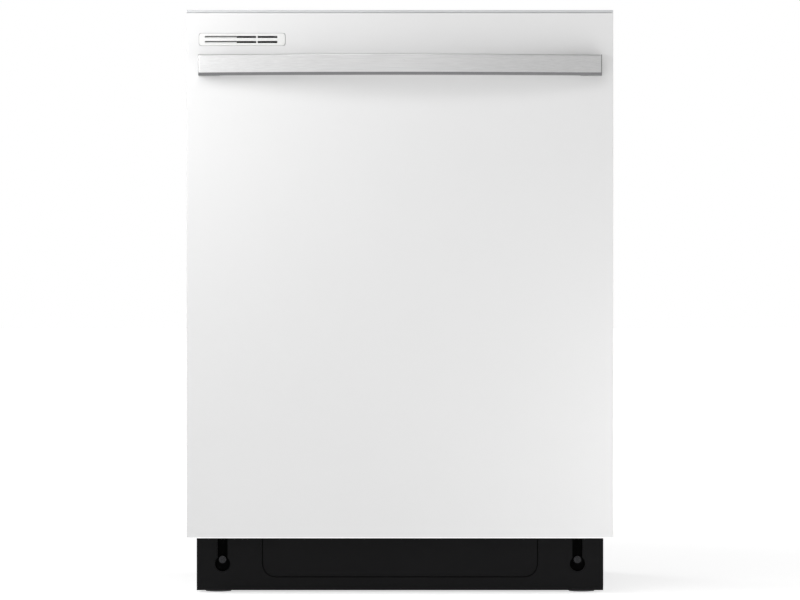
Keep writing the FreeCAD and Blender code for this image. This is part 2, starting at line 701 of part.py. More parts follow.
def heater_element():
    """The tubular heater: an open loop above the tub floor with two leads through it."""
    radius, sweep = 185.0, 150.0
    up = number("floor_top + 8")
    centre = FreeCAD.Vector(0, number("hub_back"), up)

    def at(angle):
        return centre + FreeCAD.Vector(radius * math.sin(math.radians(angle)),
                                       -radius * math.cos(math.radians(angle)), 0)

    left, right = at(-sweep), at(sweep)
    lead_y, turn_radius = 228.0, 12.0
    loop = Part.Arc(left, at(0), right).toShape()
    path = Part.Wire([loop])
    ring = path.makePipeShell([Part.Wire([Part.Circle(left, loop.tangentAt(loop.FirstParameter),
                                                      4).toShape()])], True, True)
    bars = []
    for end, x in ((left, -30.0), (right, 30.0)):
        top = FreeCAD.Vector(x, lead_y, up)
        run = top - end
        bars.append(Part.makeCylinder(4, run.Length, end, run))
        bars.append(Part.makeSphere(4, end))
        bars.append(Part.makeSphere(4, top))
        bars.append(Part.makeCylinder(4, turn_radius * 2.5, top - Z * turn_radius * 2.5, Z))
    item = doc.addObject("Part::Feature", "heater")
    item.Shape = ring.fuse(bars)
    return node(item, "heater_element")


def supply_tube():
    """The flat riser up the tub's back wall and the ceiling duct that feeds the top spray arm."""
    riser = box("riser_duct", ("-20", "20"), ("tub_back - 20.5", "tub_back - 5"), ("floor_low + 2", "782"))
    inner = box("riser_inner", ("-17", "17"), ("tub_back - 17.5", "tub_back - 8"), ("floor_low - 1", "779"))
    duct = box("ceiling_duct", ("-16", "16"), ("hub_back - 18", "tub_back - 10"), ("771", "785"))
    duct = rounded("ceiling_duct_round", duct, "5", lambda e: runs_along(e, Z))
    hub = rod("ceiling_hub", "13", "14", "0", "hub_back", "top_arm_up + 12.6")
    stub = rod("ceiling_stub", "8 - run_gap", "18", "0", "hub_back", "top_arm_up - 2")
    retainer = rod("ceiling_retainer", "11", "1.4", "0", "hub_back", "top_arm_up - 2")
    port = rod("riser_port", "15", "7", "0", "tub_back - 27.5", "upper_arm_up + 24", ALONG_Y)
    clips = [box(f"riser_clip_{n}", ("-28", "28"), ("tub_back - 5.05", "tub_back - tub_gauge - 0.05"),
                 (f"{z} - 8", f"{z} + 8"))
             for n, z in enumerate((250, 420, 600, 740))]
    hollow = rod("riser_port_bore", "11", "20", "0", "tub_back - 30", "upper_arm_up + 24", ALONG_Y)
    solid = fuse("supply_solid", riser, duct, hub, stub, retainer, port, *clips)
    return node(cut("supply", solid, inner, hollow), "supply_tube")


def rail_rollers():
    """The wall brackets that carry the upper rack's rails, each with a roller above and below the rail."""
    pieces = []
    radius = 8.5
    plate_face = "tub_half - tub_gauge - 3.05"
    for n, back in enumerate((-150, 0)):
        pieces.append(box(f"roller_plate_{n}", (plate_face, "tub_half - tub_gauge - 0.05"),
                          (f"{back} - 16", f"{back} + 16"), ("rail_up - 32", "rail_up + 32")))
        for side, label in ((1, "upper"), (-1, "lower")):
            up = f"rail_up + {side} * (rail_height / 2 + {radius} + 0.4)"
            axle = rod(f"roller_axle_{n}_{label}", "3", f"{plate_face} - rail_inner - 1", "rail_inner + 1",
                       str(back), up,
                       ALONG_X)
            wheel = rod(f"roller_{n}_{label}", str(radius), "10", "rail_inner + 0.6", str(back), up, ALONG_X)
            pieces.append(fuse(f"roller_set_{n}_{label}", axle, wheel))
    return node(both_sides("rollers", group("rollers_right", *pieces)), "rail_rollers")


def door_strike():
    """The striker: a bent plate behind the flange whose tongue enters the door's latch."""
    post = box("strike_post", ("-20", "20"), ("-204.9", "-202.9"), ("tub_top + 0.05", "819"))
    tongue = box("strike_tongue", ("-10", "10"), ("-246", "-203"), ("817", "819"))
    foot = box("strike_foot", ("-20", "20"), ("-204", "-170"), ("tub_top + 0.05", "tub_top + 2"))
    return node(fuse("strike", post, tongue, foot), "door_strike")


def mounting_brackets():
    """The two tabs on the tub's roof that screw to the underside of the worktop."""
    foot = box("tab_foot", ("215", "245"), ("-204", "-164"), ("tub_top + 0.05", "tub_top + 2"))
    post = box("tab_post", ("215", "245"), ("-204.9", "-202.9"), ("tub_top + 0.05", "829"))
    tab = box("tab_top", ("215", "245"), ("-204.9", "-178"), ("827", "829"))
    hole = rod("tab_hole", "2.5", "6", "230", "-189", "825")
    return node(both_sides("tabs", cut("tab", fuse("tab_solid", foot, post, tab), hole)),
                "mounting_brackets")


def sound_blanket():
    """The felt wrap over the tub's sides, back and roof."""
    half, gap, felt = "tub_half", "0.1", "3"
    outer = box("felt_outer", (f"-{half} - {gap} - {felt}", f"{half} + {gap} + {felt}"),
                ("-150", f"tub_back + {gap} + {felt}"),
                ("128", f"tub_top + {gap} + {felt}"))
    inner = box("felt_inner", (f"-{half} - {gap}", f"{half} + {gap}"), ("-151", f"tub_back + {gap}"),
                ("127", f"tub_top + {gap}"))
    inlet = rod("felt_inlet_hole", "fill_radius + 4", "12", f"-{half} - 8", "215", "330", ALONG_X)
    return node(cut("felt", outer, inner, inlet), "sound_blanket")


# ---------------------------------------------------------------- base

def wall_strips(name, along_x, place_at, span, windows, top):
    """One upright wall in strips that meet round its windows.

    span is its (low, high) along the wall and windows a list of (low, high, sill, head) along it.
    """
    def strip(label, along, up):
        x, y = (along, place_at) if along_x else (place_at, along)
        return box(f"{name}_{label}", x, y, up)

    sill, head = windows[0][2], windows[0][3]
    strips = [strip("sill", span, ("pan_top", sill)), strip("head", span, (head, top))]
    edges = [span[0]]
    for low, high, _, _ in windows:
        edges += [low, high]
    edges.append(span[1])
    for n in range(0, len(edges), 2):
        strips.append(strip(f"post_{n // 2}", (edges[n], edges[n + 1]), (sill, head)))
    return strips


def base_frame():
    """The base in strips: a drip pan, walls round their service windows, foot sockets and two cross beams."""
    half, wall = "base_half", "base_wall"
    inner = f"{half} - {wall}"
    across, depth = (f"-({half})", half), (f"base_front + {wall}", f"base_back - {wall}")
    pan = box("base_pan", across, ("base_front", "base_back"), ("base_low", "pan_top"))
    bores = [rod(f"base_bore_{n}", "5 + run_gap", "40", x, y, "base_low - 1") for n,
             (x, y) in enumerate(FEET.values())]
    pieces = [cut("base_pan_bored", pan, *bores)]
    for n, (x, y) in enumerate(FEET.values()):
        socket = rod(f"base_socket_{n}", "14", "29.5", x, y, "pan_top")
        stem = rod(f"base_stem_{n}", "5 + run_gap", "40", x, y, "base_low - 1")
        pieces.append(cut(f"base_socket_bored_{n}", socket, stem))
    guide = rod("base_float_guide", "7", "9.5", "-120", "-120", "pan_top")
    float_bore = rod("base_float_bore", "3 + run_gap", "40", "-120", "-120", "base_low - 1")
    pieces.append(cut("base_guide_bored", guide, float_bore))

    front = wall_strips("base_front_wall", True, ("base_front", f"base_front + {wall}"), across,
                      [("-236", "236", "22", "86")], "floor_low - 0.1")
    screws = {2: "-kick_slot", 3: "kick_slot"}
    for n, x in screws.items():
        hole = rod(f"base_screw_hole_{n}", "2.45", "12", x, "base_front - 4", "kick_screw", ALONG_Y)
        front[n] = cut(f"base_front_post_{n}", front[n], hole)
    for side, x in (("left", (f"-({half})", "-275")), ("right", ("275", half))):
        front.append(box(f"base_front_corner_{side}", x, ("base_front", f"base_front + {wall}"),
                         ("floor_low - 0.1", "base_high")))
    back = wall_strips("base_back_wall", True, (f"base_back - {wall}", "base_back"), across,
                     [("-180", "180", "34", "80")], "base_high")
    for n, x in ((2, "-235"), (3, "235")):
        hole = rod(f"base_outlet_{n}", "15", "20", x, "base_back - 10", "60", ALONG_Y)
        back[n] = cut(f"base_back_post_{n}", back[n], hole)
    openings = [("-95", "60", "30", "82"), ("90", "245", "30", "82")]
    left = wall_strips("base_left_wall", False, (f"-({half})", f"-({inner})"), depth, openings, "base_high")
    right = wall_strips("base_right_wall", False, (inner, half), depth, openings, "base_high")
    notch = box("base_hose_notch", (f"{inner} - 1", f"{half} + 1"), ("184", "276"), ("72", "base_high + 1"))
    for n in (1, 4):
        right[n] = cut(f"base_right_notched_{n}", right[n], notch)
    pieces += front + back + left + right

    for n, y in enumerate((("-130", "-118"), ("tub_back - 3.7", "tub_back + 6"))):
        pieces.append(box(f"base_beam_{n}", (f"-({inner})", inner), y, ("92", "floor_low")))
    for side, reach in (("left", ("-296", "-282")), ("right", ("282", "296"))):
        pieces.append(box(f"base_anchor_{side}", reach, ("spring_back", "spring_back + 8"),
                          ("base_high", "pivot_up + tail_reach + 12")))
    return node(group("base", *pieces), "base_frame")


FEET = {
    "foot_front_left": ("-foot_right", "foot_front"),
    "foot_front_right": ("foot_right", "foot_front"),
    "foot_back_left": ("-foot_right", "foot_back"),
    "foot_back_right": ("foot_right", "foot_back"),
}


def levelling_feet():
    """The four screw feet: a pad, a hexagon for the spanner and a stem in the base's socket."""
    for label, (x, y) in FEET.items():
        made = turned(label + "_turned", [("0", "0"), ("18", "0"), ("20", "2"), ("20", "4"), ("9", "5"),
                                          ("5", "5"), ("5", "38"), ("0", "38")], x, y)
        hexagon = doc.addObject("Part::Prism", label + "_hexagon")
        hexagon.Polygon = 6
        bind(hexagon, "Circumradius", "9.5")
        bind(hexagon, "Height", "3.4")
        place(hexagon, x, y, "4.5")
        node(fuse(label + "_solid", made, hexagon), label)


def kick_plate():
    """The black toe-kick: a shallow tray with a raised field and a keyhole recess for each screw."""
    made = body("kick")
    half, gauge = "kick_half", "kick_gauge"
    front = sketch(made, "kick_front", "XZ_Plane", "-base_front + 0.2")
    rectangle(front, (f"-{half}", half), ("kick_low", "kick_high"))
    pad(made, front, "base_front - kick_face - 0.2")
    inside = sketch(made, "kick_inside", "XZ_Plane", "-base_front + 0.2")
    rectangle(inside, (f"-{half} + {gauge}", f"{half} - {gauge}"),
              (f"kick_low + {gauge}", f"kick_high - {gauge}"))
    pocket(made, inside, f"base_front - kick_face - 0.2 - {gauge}")
    tall = "kick_high - 24"
    pieces = [made]
    dishes = []
    for side, x in (("right", "kick_slot"), ("left", "-kick_slot")):
        pieces.append(box(f"kick_boss_{side}", (f"{x} - 16", f"{x} + 16"),
                          (f"kick_face + {gauge} - 0.5", "base_front - 0.2"), ("26", "kick_high - 1")))
        dish = fuse(f"kick_dish_{side}",
                    box(f"kick_dish_run_{side}", (f"{x} - kick_recess", f"{x} + kick_recess"),
                        ("kick_face - 1", "kick_face + 3.2"), ("kick_dish_up", "kick_high - 5")),
                    rod(f"kick_dish_end_{side}", "kick_dish", "4.2", x, "kick_face - 1",
                        "kick_dish_up", ALONG_Y))
        slot = fuse(f"kick_slot_{side}",
                    box(f"kick_slot_run_{side}", (f"{x} - 3.5", f"{x} + 3.5"),
                        ("kick_face - 1", "base_front + 1"), ("kick_screw", tall)),
                    rod(f"kick_slot_low_{side}", "3.5", "7", x, "kick_face - 1", "kick_screw", ALONG_Y),
                    rod(f"kick_slot_high_{side}", "3.5", "7", x, "kick_face - 1", tall, ALONG_Y))
        dishes += [dish, slot]
    groove_out = rounded("kick_field_edge", box("kick_field", ("-199.5", "199.5"),
                                                ("kick_face - 1", "kick_face + 0.6"),
                                                ("23", "kick_high + 30")),
                         "22", lambda e: runs_along(e, Y))
    groove_in = rounded("kick_field_core", box("kick_field_inside", ("-198.3", "198.3"),
                                               ("kick_face - 2", "kick_face + 2"),
                                               ("24.2", "kick_high + 30")),
                        "20.8", lambda e: runs_along(e, Y))
    groove = cut("kick_groove", groove_out, groove_in)
    plate = cut("kick_cut", fuse("kick_solid", *pieces), groove, *dishes)
    face, low, side = number("kick_face"), number("kick_low"), number(half)

    def on_rim(edge):
        middle = edge.CenterOfMass
        return (abs(middle.y - face) < 0.01 and edge.Length > 50
                and (abs(middle.z - low) < 0.01 or abs(abs(middle.x) - side) < 0.01))

    return node(rounded("kick_finished", plate, "1.2", on_rim, "Part::Chamfer"), "kick_plate")


def kick_plate_screws():
    """The two screws that clamp the toe-kick at its height."""
    y = "kick_face + 3.18"
    head = rod("kick_screw_head", "5.2", "3", "kick_slot", f"{y} - 3", "kick_screw", ALONG_Y)
    shank = rod("kick_screw_shank", "2.4", "12", "kick_slot", f"{y} - 1", "kick_screw", ALONG_Y)
    spans = ((("kick_slot - 3", "kick_slot + 3"), ("kick_screw - 0.6", "kick_screw + 0.6")),
             (("kick_slot - 0.6", "kick_slot + 0.6"), ("kick_screw - 3", "kick_screw + 3")))
    cross = [box(f"kick_screw_cross_{n}", x, (f"{y} - 4", f"{y} - 1.8"), z) for n,
             (x, z) in enumerate(spans)]
    screw = cut("kick_screw_solid", fuse("kick_screw_blank", head, shank), *cross)
    return node(both_sides("kick_screws", screw), "kick_plate_screws")


# ---------------------------------------------------------------- wash system

def sump_housing():
    """The sump under the well, joined to the wash pump's volute."""
    x, y, z = "well_right", "well_back", "54"
    bowl = rod("sump_bowl", "46", "well_low - 30.1", x, y, "30")
    bowl_core = rod("sump_core", "43", "well_low - 30 - 3", x, y, "33")
    volute = rod("sump_volute", "36", "34", "-14", y, z, ALONG_X)
    volute_core = rod("sump_volute_core", "33", "28", "-11", y, z, ALONG_X)
    neck = rod("sump_neck", "16", "52", "8", y, z, ALONG_X)
    neck_core = rod("sump_neck_core", "13", "52", "8", y, z, ALONG_X)
    feed = rod("sump_feed", "13", "20", "4", "well_back", "76")
    duct = box("sump_duct", ("-10", "14"), ("well_back - 10", "tub_back - 5.2"), ("86", "floor_low - 0.1"))
    duct_core = box("sump_duct_core", ("-7", "11"), ("well_back - 7", "tub_back - 8"),
                    ("88.5", "floor_low - 2.5"))
    arm_feed = rod("sump_arm_feed", "7", "10", "0", "hub_back", "floor_low - 4")
    riser_feed = box("sump_riser_feed", ("-7", "11"), ("tub_back - 17.5", "tub_back - 8"),
                     ("floor_low - 4", "floor_low + 1"))
    feed_core = rod("sump_feed_core", "9", "20", "4", "well_back", "70")
    shaft_hole = rod("sump_shaft_hole", "6.2", "8", "-17", y, z, ALONG_X)
    pump_port = rod("sump_pump_port", "8", "20", "132", y, "48", ALONG_X)
    mouth = rod("sump_mouth", "20", "10", x, y, "well_low - 6")
    solid = fuse("sump_solid", bowl, volute, neck, feed, duct)
    return node(cut("sump", solid, bowl_core, volute_core, neck_core, duct_core, arm_feed, riser_feed,
                    feed_core, shaft_hole, pump_port, mouth), "sump_housing")


def wash_motor():
    """The wash pump's motor: a finned can on the volute's left, with the shaft's bearing bore."""
    sections = [("6 + run_gap", "0"), ("32", "0"), ("32", "4"), ("37", "6"), ("37", "86"), ("30", "92"),
                ("14", "92"), ("14", "100"),
                ("0", "100"), ("0", "72"), ("6 + run_gap", "72")]
    made = turned("motor", sections, "-14.1", "well_back", "54", FreeCAD.Rotation(Y, -90))
    feet = [box(f"motor_foot_{n}", (f"-14.1 - {a}", f"-14.1 - {b}"), ("well_back - 20", "well_back + 20"),
                ("base_low + 2.5", "22"))
            for n, (a, b) in enumerate(((30, 20), (80, 70)))]
    return node(fuse("motor_solid", made, *feet), "wash_motor")


def wash_impeller():
    """The wash impeller: a disc with six blades on the rotor's shaft."""
    sections = [("0", "-70"), ("6", "-70"), ("6", "4"), ("28", "4"), ("28", "6.5"), ("7", "8"), ("7", "14"),
                ("0", "16")]
    made = turned("impeller", sections, "-14.1", "well_back", "54", ALONG_X)
    blades = []
    for n in range(6):
        blade = doc.addObject("Part::Box", f"impeller_blade_{n}")
        blade.Length, blade.Width, blade.Height = 20, 1.8, 7
        out = FreeCAD.Placement(FreeCAD.Vector(6, -0.9, 6), UPRIGHT)
        blade.Placement = FreeCAD.Placement(FreeCAD.Vector(), FreeCAD.Rotation(Z, n * 60)).multiply(out)
        blades.append(blade)
    rotor = fuse("impeller_blades", *blades)
    place(rotor, "-14.1", "well_back", "54", ALONG_X)
    return node(fuse("impeller_solid", made, rotor), "wash_impeller")


def drain_pump():
    """The drain pump on the sump's right, with its outlet spigot."""
    nose = rod("drain_nose", "7.9", "12", "139", "well_back", "48", ALONG_X)
    volute = rod("drain_volute", "22", "26", "141.2", "well_back", "48", ALONG_X)
    can = rod("drain_can", "19", "46", "167", "well_back", "48", ALONG_X)
    spigot = rod("drain_spigot", "8", "44", "154", "well_back", "58", ALONG_Y)
    bore = rod("drain_spigot_bore", "6", "50", "154", "well_back + 10", "58", ALONG_Y)
    stand = box("drain_stand", ("176", "196"), ("well_back - 14", "well_back + 14"),
                ("base_low + 2.5", "30"))
    return node(cut("drain", fuse("drain_solid", nose, volute, can, spigot, stand), bore), "drain_pump")


def tube(name, label, radius, bore, points, bend):
    """A hose along straight runs joined by tangent arcs of one radius."""
    corners = [FreeCAD.Vector(*(number(t) for t in p)) for p in points]
    edges, start = [], corners[0]
    for before, corner, after in zip(corners, corners[1:], corners[2:]):
        way_in = (corner - before).normalize()
        way_out = (after - corner).normalize()
        half_turn = way_in.getAngle(way_out) / 2
        back_off = bend * math.tan(half_turn)
        first, last = corner - way_in * back_off, corner + way_out * back_off
        inward = (way_out - way_in).normalize()
        middle = corner + inward * (bend / math.cos(half_turn) - bend)
        edges += [Part.LineSegment(start, first).toShape(), Part.Arc(first, middle, last).toShape()]
        start = last
    edges.append(Part.LineSegment(start, corners[-1]).toShape())
    path = Part.Wire(edges)
    heading = (corners[1] - corners[0]).normalize()
    rings = [path.makePipeShell([Part.Wire([Part.Circle(corners[0], heading, size).toShape()])], True, False)
             for size in (radius, bore)]
    item = doc.addObject("Part::Feature", name)
    item.Shape = rings[0].cut(rings[1])
    print(f"{label}: {path.Length:.0f} mm of hose, bend radius {bend:.0f} mm")
    return node(item, label)


def drain_hose():
    """The drain hose: from the pump, up the right side in the high loop and down to the back."""
    radius = number("drain_radius")
    return tube("hose_drain", "drain_hose", radius, radius - 1.4, [
        ("154", "well_back + 44.1", "58"), ("154", "110", "58"), ("235", "160", "58"), ("285", "205", "90"),
        ("285", "205", "690"),
        ("285", "262", "690"), ("285", "262", "92"), ("235", "285", "60"), ("235", "base_back - 0.5", "60")],
        26.0)


def fill_hose():
    """The filler hose: from the inlet valve, up the left side to the tub's inlet."""
    radius = number("fill_radius")
    return tube("hose_fill", "fill_hose", radius, radius - 1.2, [
        ("-200", "-99.9", "62"), ("-200", "120", "62"), ("-250", "180", "62"), ("-282", "215", "82"),
        ("-282", "215", "330"),
        ("-tub_half + 6", "215", "330")], 12.0)


def inlet_valve():
    """The solenoid water valve with its threaded inlet to the front."""
    block = box("valve_block", ("-222", "-178"), ("-136", "-100"), ("base_low + 2.5", "74"))
    inlet = rod("valve_inlet", "12.7", "22", "-200", "-157", "40", ALONG_Y)
    bore = rod("valve_inlet_bore", "9", "30", "-200", "-160", "40", ALONG_Y)
    coil = rod("valve_coil", "14", "12", "-200", "-118", "73")
    return node(cut("valve", fuse("valve_solid", block, inlet, coil), bore), "inlet_valve")


def junction_box():
    """The steel box for the mains connection: six plates, the back one with a knock-out for a gland."""
    gauge = 1.2
    x0, x1, y0, y1, z0, z1 = 160, 232, -176, -116, 10.5, 72
    walls = (str(z0 + gauge), str(z1 - gauge))
    depth = (str(y0 + gauge), str(y1 - gauge))
    plates = [box("junction_bottom", (str(x0), str(x1)), (str(y0), str(y1)), (str(z0), walls[0])),
              box("junction_top", (str(x0), str(x1)), (str(y0), str(y1)), (walls[1], str(z1))),
              box("junction_left", (str(x0), str(x0 + gauge)), depth, walls),
              box("junction_right", (str(x1 - gauge), str(x1)), depth, walls),
              box("junction_front", (str(x0), str(x1)), (str(y0), depth[0]), walls)]
    back = box("junction_back", (str(x0), str(x1)), (depth[1], str(y1)), walls)
    knockout = rod("junction_knockout", "11.1", "6", "196", "-120", "40", ALONG_Y)
    return node(group("junction", *plates, cut("junction_back_bored", back, knockout)), "junction_box")


def leak_float():
    """The leak float in the drip pan: a foam disc on a guided stem."""
    return node(turned("float_turned", [("0", "0"), ("3", "0"), ("3", "9.8"), ("22", "9.8"), ("22", "19"),
                                        ("0", "19")], "-120", "-120", "base_low + 3"), "leak_float")


def cylinder_filter():
    """The twist-out filter: a mesh cup with a flat rim and a grip."""
    made = turned("filter", [("40", "0"), ("42", "0"), ("42", "39.1"), ("62", "39.1"), ("62", "41.1"),
                             ("38", "41.1"), ("38", "2"), ("0", "2"), ("0", "0")],
                  "well_right", "well_back", "well_low + floor_wall + 1.2")
    bridge = box("filter_bridge", ("well_right - 40", "well_right + 40"), ("well_back - 5", "well_back + 5"),
                 ("well_low + 42", "well_low + 47"))
    grip = box("filter_grip", ("well_right - 18", "well_right + 18"), ("well_back - 3", "well_back + 3"),
               ("well_low + 46", "well_low + 54"))
    return node(fuse("filter_solid", made, bridge, grip), "cylinder_filter")


def arm_outline(half, wide):
    """A tapered blade, widest across the hub."""
    tip = f"({wide}) * 0.55"
    return [(f"-({half})", f"-{tip}"), ("-30", f"-({wide})"), ("30", f"-({wide})"), (half, f"-{tip}"),
            (half, tip), ("30", wide), ("-30", wide), (f"-({half})", tip)]


def spray_arm(label, length, width, up, bore, jets):
    """A spray arm: a flat, tapered hollow blade on a hub, with a row of jets in its top."""
    half, wide, wall = f"({length}) / 2", f"({width}) / 2", 2
    made = body(label + "_shell")
    plan = sketch(made, label + "_plan", "XY_Plane", "0")
    outline(plan, arm_outline(half, wide))
    pad(made, plan, "12")
    round_over(made, "8", lambda e: runs_along(e, Z) and abs(e.Vertexes[0].X) > 100)
    round_over(made, "3", lambda e: e.Length > 10 and all(abs(v.Z - 12) < 0.01 for v in e.Vertexes))
    hub = sketch(made, label + "_hub", "XY_Plane", "0")
    circle(hub, "0", "0", bore)
    pocket(made, hub, "12")
    inside = body(label + "_inside")
    core = sketch(inside, label + "_core", "XY_Plane", str(wall))
    outline(core, arm_outline(f"{half} - 4", f"{wide} - 4"))
    pad(inside, core, str(12 - 2 * wall))
    sleeve = rod(label + "_sleeve", f"{bore} + 3", "12", "0", "0", "0")
    holes = []
    last = number(half) - 16
    for side in (1, -1):
        for n in range(jets):
            x = side * (30 + (last - 30) * n / (jets - 1))
            y = side * (5 if n % 2 else -4)
            holes.append(rod(f"{label}_jet_{n}_{side > 0:d}", "1.6", "4", f"{x:.1f}", str(y), "9"))
    arm = cut(label + "_solid", made, cut(label + "_cavity", inside, sleeve), *holes)
    place(arm, "0", "hub_back", up)
    return node(arm, label)


def upper_spray_hub():
    """The duct under the upper rack that feeds its spray arm, with the arm's bearing."""
    pipe = rod("upper_pipe", "10.5", "tub_back - hub_back - 28.1", "0", "hub_back", "upper_arm_up + 24",
               ALONG_Y)
    ball = rod("upper_hub", "17", "20", "0", "hub_back", "upper_arm_up + 14")
    stub = rod("upper_stub", "10 - run_gap", "17", "0", "hub_back", "upper_arm_up - 2")
    feed = rod("upper_feed", "7", "40", "0", "hub_back", "upper_arm_up - 3")
    bore = rod("upper_pipe_bore", "8.5", "tub_back", "0", "hub_back", "upper_arm_up + 24", ALONG_Y)
    retainer = rod("upper_retainer", "13", "1.6", "0", "hub_back", "upper_arm_up - 2.2")
    return node(cut("upper_duct", fuse("upper_duct_solid", pipe, ball, stub, retainer), feed, bore),
                "upper_spray_hub")


# ---------------------------------------------------------------- racks

def wires_along_x(name, half, rows, up, radius):
    return [rod(f"{name}_{n}", radius, f"2 * ({half})", f"-({half})", y, up, ALONG_X) for n,
            y in enumerate(rows)]


def wires_along_y(name, front, back, columns, up, radius):
    return [rod(f"{name}_{n}", radius, f"({back}) - ({front})", x, front, up, ALONG_Y) for n,
            x in enumerate(columns)]


def wires_up(name, spots, low, high, radius):
    return [rod(f"{name}_{n}", radius, f"({high}) - ({low})", x, y, low) for n, (x, y) in enumerate(spots)]


def spread(low, high, count):
    """count evenly spaced expressions from low to high, both ends included."""
    return [f"({low}) + (({high}) - ({low})) * {n} / {count - 1}" for n in range(count)]


def sloped_front(name, half, count, toe, floor, rim, radius):
    """The leaning uprights of a lower rack's front."""
    start = FreeCAD.Vector(0, number(f"rack_front + {toe}"), number(floor))
    end = FreeCAD.Vector(0, number("rack_front"), number(rim))
    lean = FreeCAD.Rotation(Z, end - start)
    made = []
    for n, x in enumerate(spread(f"-({half})", half, count)):
        made.append(rod(f"{name}_{n}", radius, f"{(end - start).Length:.3f}", x, f"rack_front + {toe}",
                        floor, lean))
    return made


def basket(name, half, front, floor, rim, columns, rows, posts, sides, toe=None):
    """The wire grid of a rack: floor wires both ways, uprights all round and two rims."""
    gap = "0.04"
    step = f"2 * wire + {gap}"
    wires = []
    wires += wires_along_y(name + "_floor_y", front, "rack_back - 4",
                           spread(f"-({half}) + 12", f"({half}) - 12", columns), floor, "wire")
    wires += wires_along_x(name + "_floor_x", half, spread(f"({front}) + 20", "rack_back - 24", rows),
                           f"{floor} + {step}", "wire")
    for level, up in (("top", rim), ("middle", f"{floor} + (({rim}) - ({floor})) * 0.5")):
        lean = "0" if toe is None or level == "top" else f"{toe} * 0.5 - 2.25"
        out = f"({half}) + wire + rim_wire + {gap}"
        wires += wires_along_x(f"{name}_{level}_front", f"{out} - rim_wire",
                               [f"rack_front - wire - rim_wire - {gap} + {lean}"], up, "rim_wire")
        wires += wires_along_x(f"{name}_{level}_back", f"{out} - rim_wire",
                               [f"rack_back + wire + rim_wire + {gap}"], up, "rim_wire")
        wires += wires_along_y(f"{name}_{level}_side", f"rack_front + {lean} + 0.2", "rack_back - 0.2",
                               [out, f"-({out})"], up, "rim_wire")
    top = f"{rim} + rim_wire"
    wires += wires_up(name + "_back", [(x, "rack_back")
                                       for x in spread(f"-({half}) + 12", f"({half}) - 12", posts)], floor,
                                       top, "wire")
    for side in ("", "-"):
        spots = [(f"{side}({half})", y) for y in spread(f"({front}) + 32", "rack_back - 12", sides)]
        wires += wires_up(f"{name}_side{'_left' if side else '_right'}", spots,
                          f"{floor} + {step} + wire + {gap}", top, "wire")
    return wires


def tines(name, x, rows, floor, height, lean=0):
    return wires_up(name, [(x, y) for y in rows], floor, f"{floor} + {height}", "wire - 0.2")


def lower_rack():
    """The lower rack: wire basket with a leaning front, fixed tine rows and eight wheel stubs."""
    front = "rack_front + lower_toe"
    wires = basket("lower", "lower_half", front, "lower_floor", "lower_rim", 11, 7, 9, 7, "lower_toe")
    wires += sloped_front("lower_front", "lower_half - 12", 9, "lower_toe - 2 * wire - 0.3", "lower_floor",
                          "lower_rim + rim_wire", "wire")
    floor = "lower_floor + 3 * wire + 0.08"
    for n, x in enumerate(("-175", "-110", "70")):
        wires += tines(f"lower_tine_{n}", x, spread(f"{front} + 40", "rack_back - 44", 11), floor,
                       "tine_height")
        wires += wires_along_y(f"lower_tine_rail_{n}", f"{front} + 30", "rack_back - 34",
                               [f"{x} + 2 * wire + 0.3"], f"{floor} + 14", "wire")
    axles = []
    for side in (1, -1):
        for n, y in enumerate(WHEEL_ROWS):
            name = f"lower_{n}_{'right' if side > 0 else 'left'}"
            plate = ("lower_half + 2", "lower_half + 4") if side > 0 else ("-lower_half - 4",
                                                                           "-lower_half - 2")
            start = "lower_half + 3" if side > 0 else "-lower_half - 16"
            hanger = box(name + "_hanger", plate, (f"{y} - 6", f"{y} + 6"),
                         ("wheel_up - 6", "lower_floor + 24"))
            axles.append(fuse(name + "_stub", hanger,
                              rod(name + "_axle", "4", "13", start, y, "wheel_up", ALONG_X)))
    return node(group("lower_rack_wires", *wires, *axles), "lower_rack")


WHEEL_ROWS = ("-62", "30", "130", "225")


def lower_wheels():
    """The lower rack's wheels: one pair on each axle line, left and right."""
    for n, y in enumerate(WHEEL_ROWS, start=1):
        section = [("4 + run_gap", "0"), ("wheel_radius", "0"), ("wheel_radius", "9"),
                   ("wheel_radius - 4", "9"), ("wheel_radius - 4", "6"),
                   ("8", "6"), ("8", "10.5"), ("4 + run_gap", "10.5")]
        right = turned(f"wheel_{n}", section, "lower_half + 4.5", y, "wheel_up", ALONG_X)
        node(both_sides(f"wheel_pair_{n}", right), f"lower_wheels_{n}")


def fold_tines():
    """One row of tines on a turning rod that folds flat for pots."""
    floor = "lower_floor + 3 * wire + 0.08"
    axis_up = f"{floor} + 3.2"
    rail = rod("fold_rail", "2.4", "rack_back - rack_front - lower_toe - 60", "-20",
               "rack_front + lower_toe + 26", axis_up, ALONG_Y)
    pins = wires_up("fold_tine", [("-20", y) for y in spread("rack_front + lower_toe + 40", "rack_back - 44",
                                                             11)], axis_up, f"{floor} + tine_height",
                                                             "wire - 0.2")
    return node(fuse("fold_row", rail, *pins), "fold_tines")


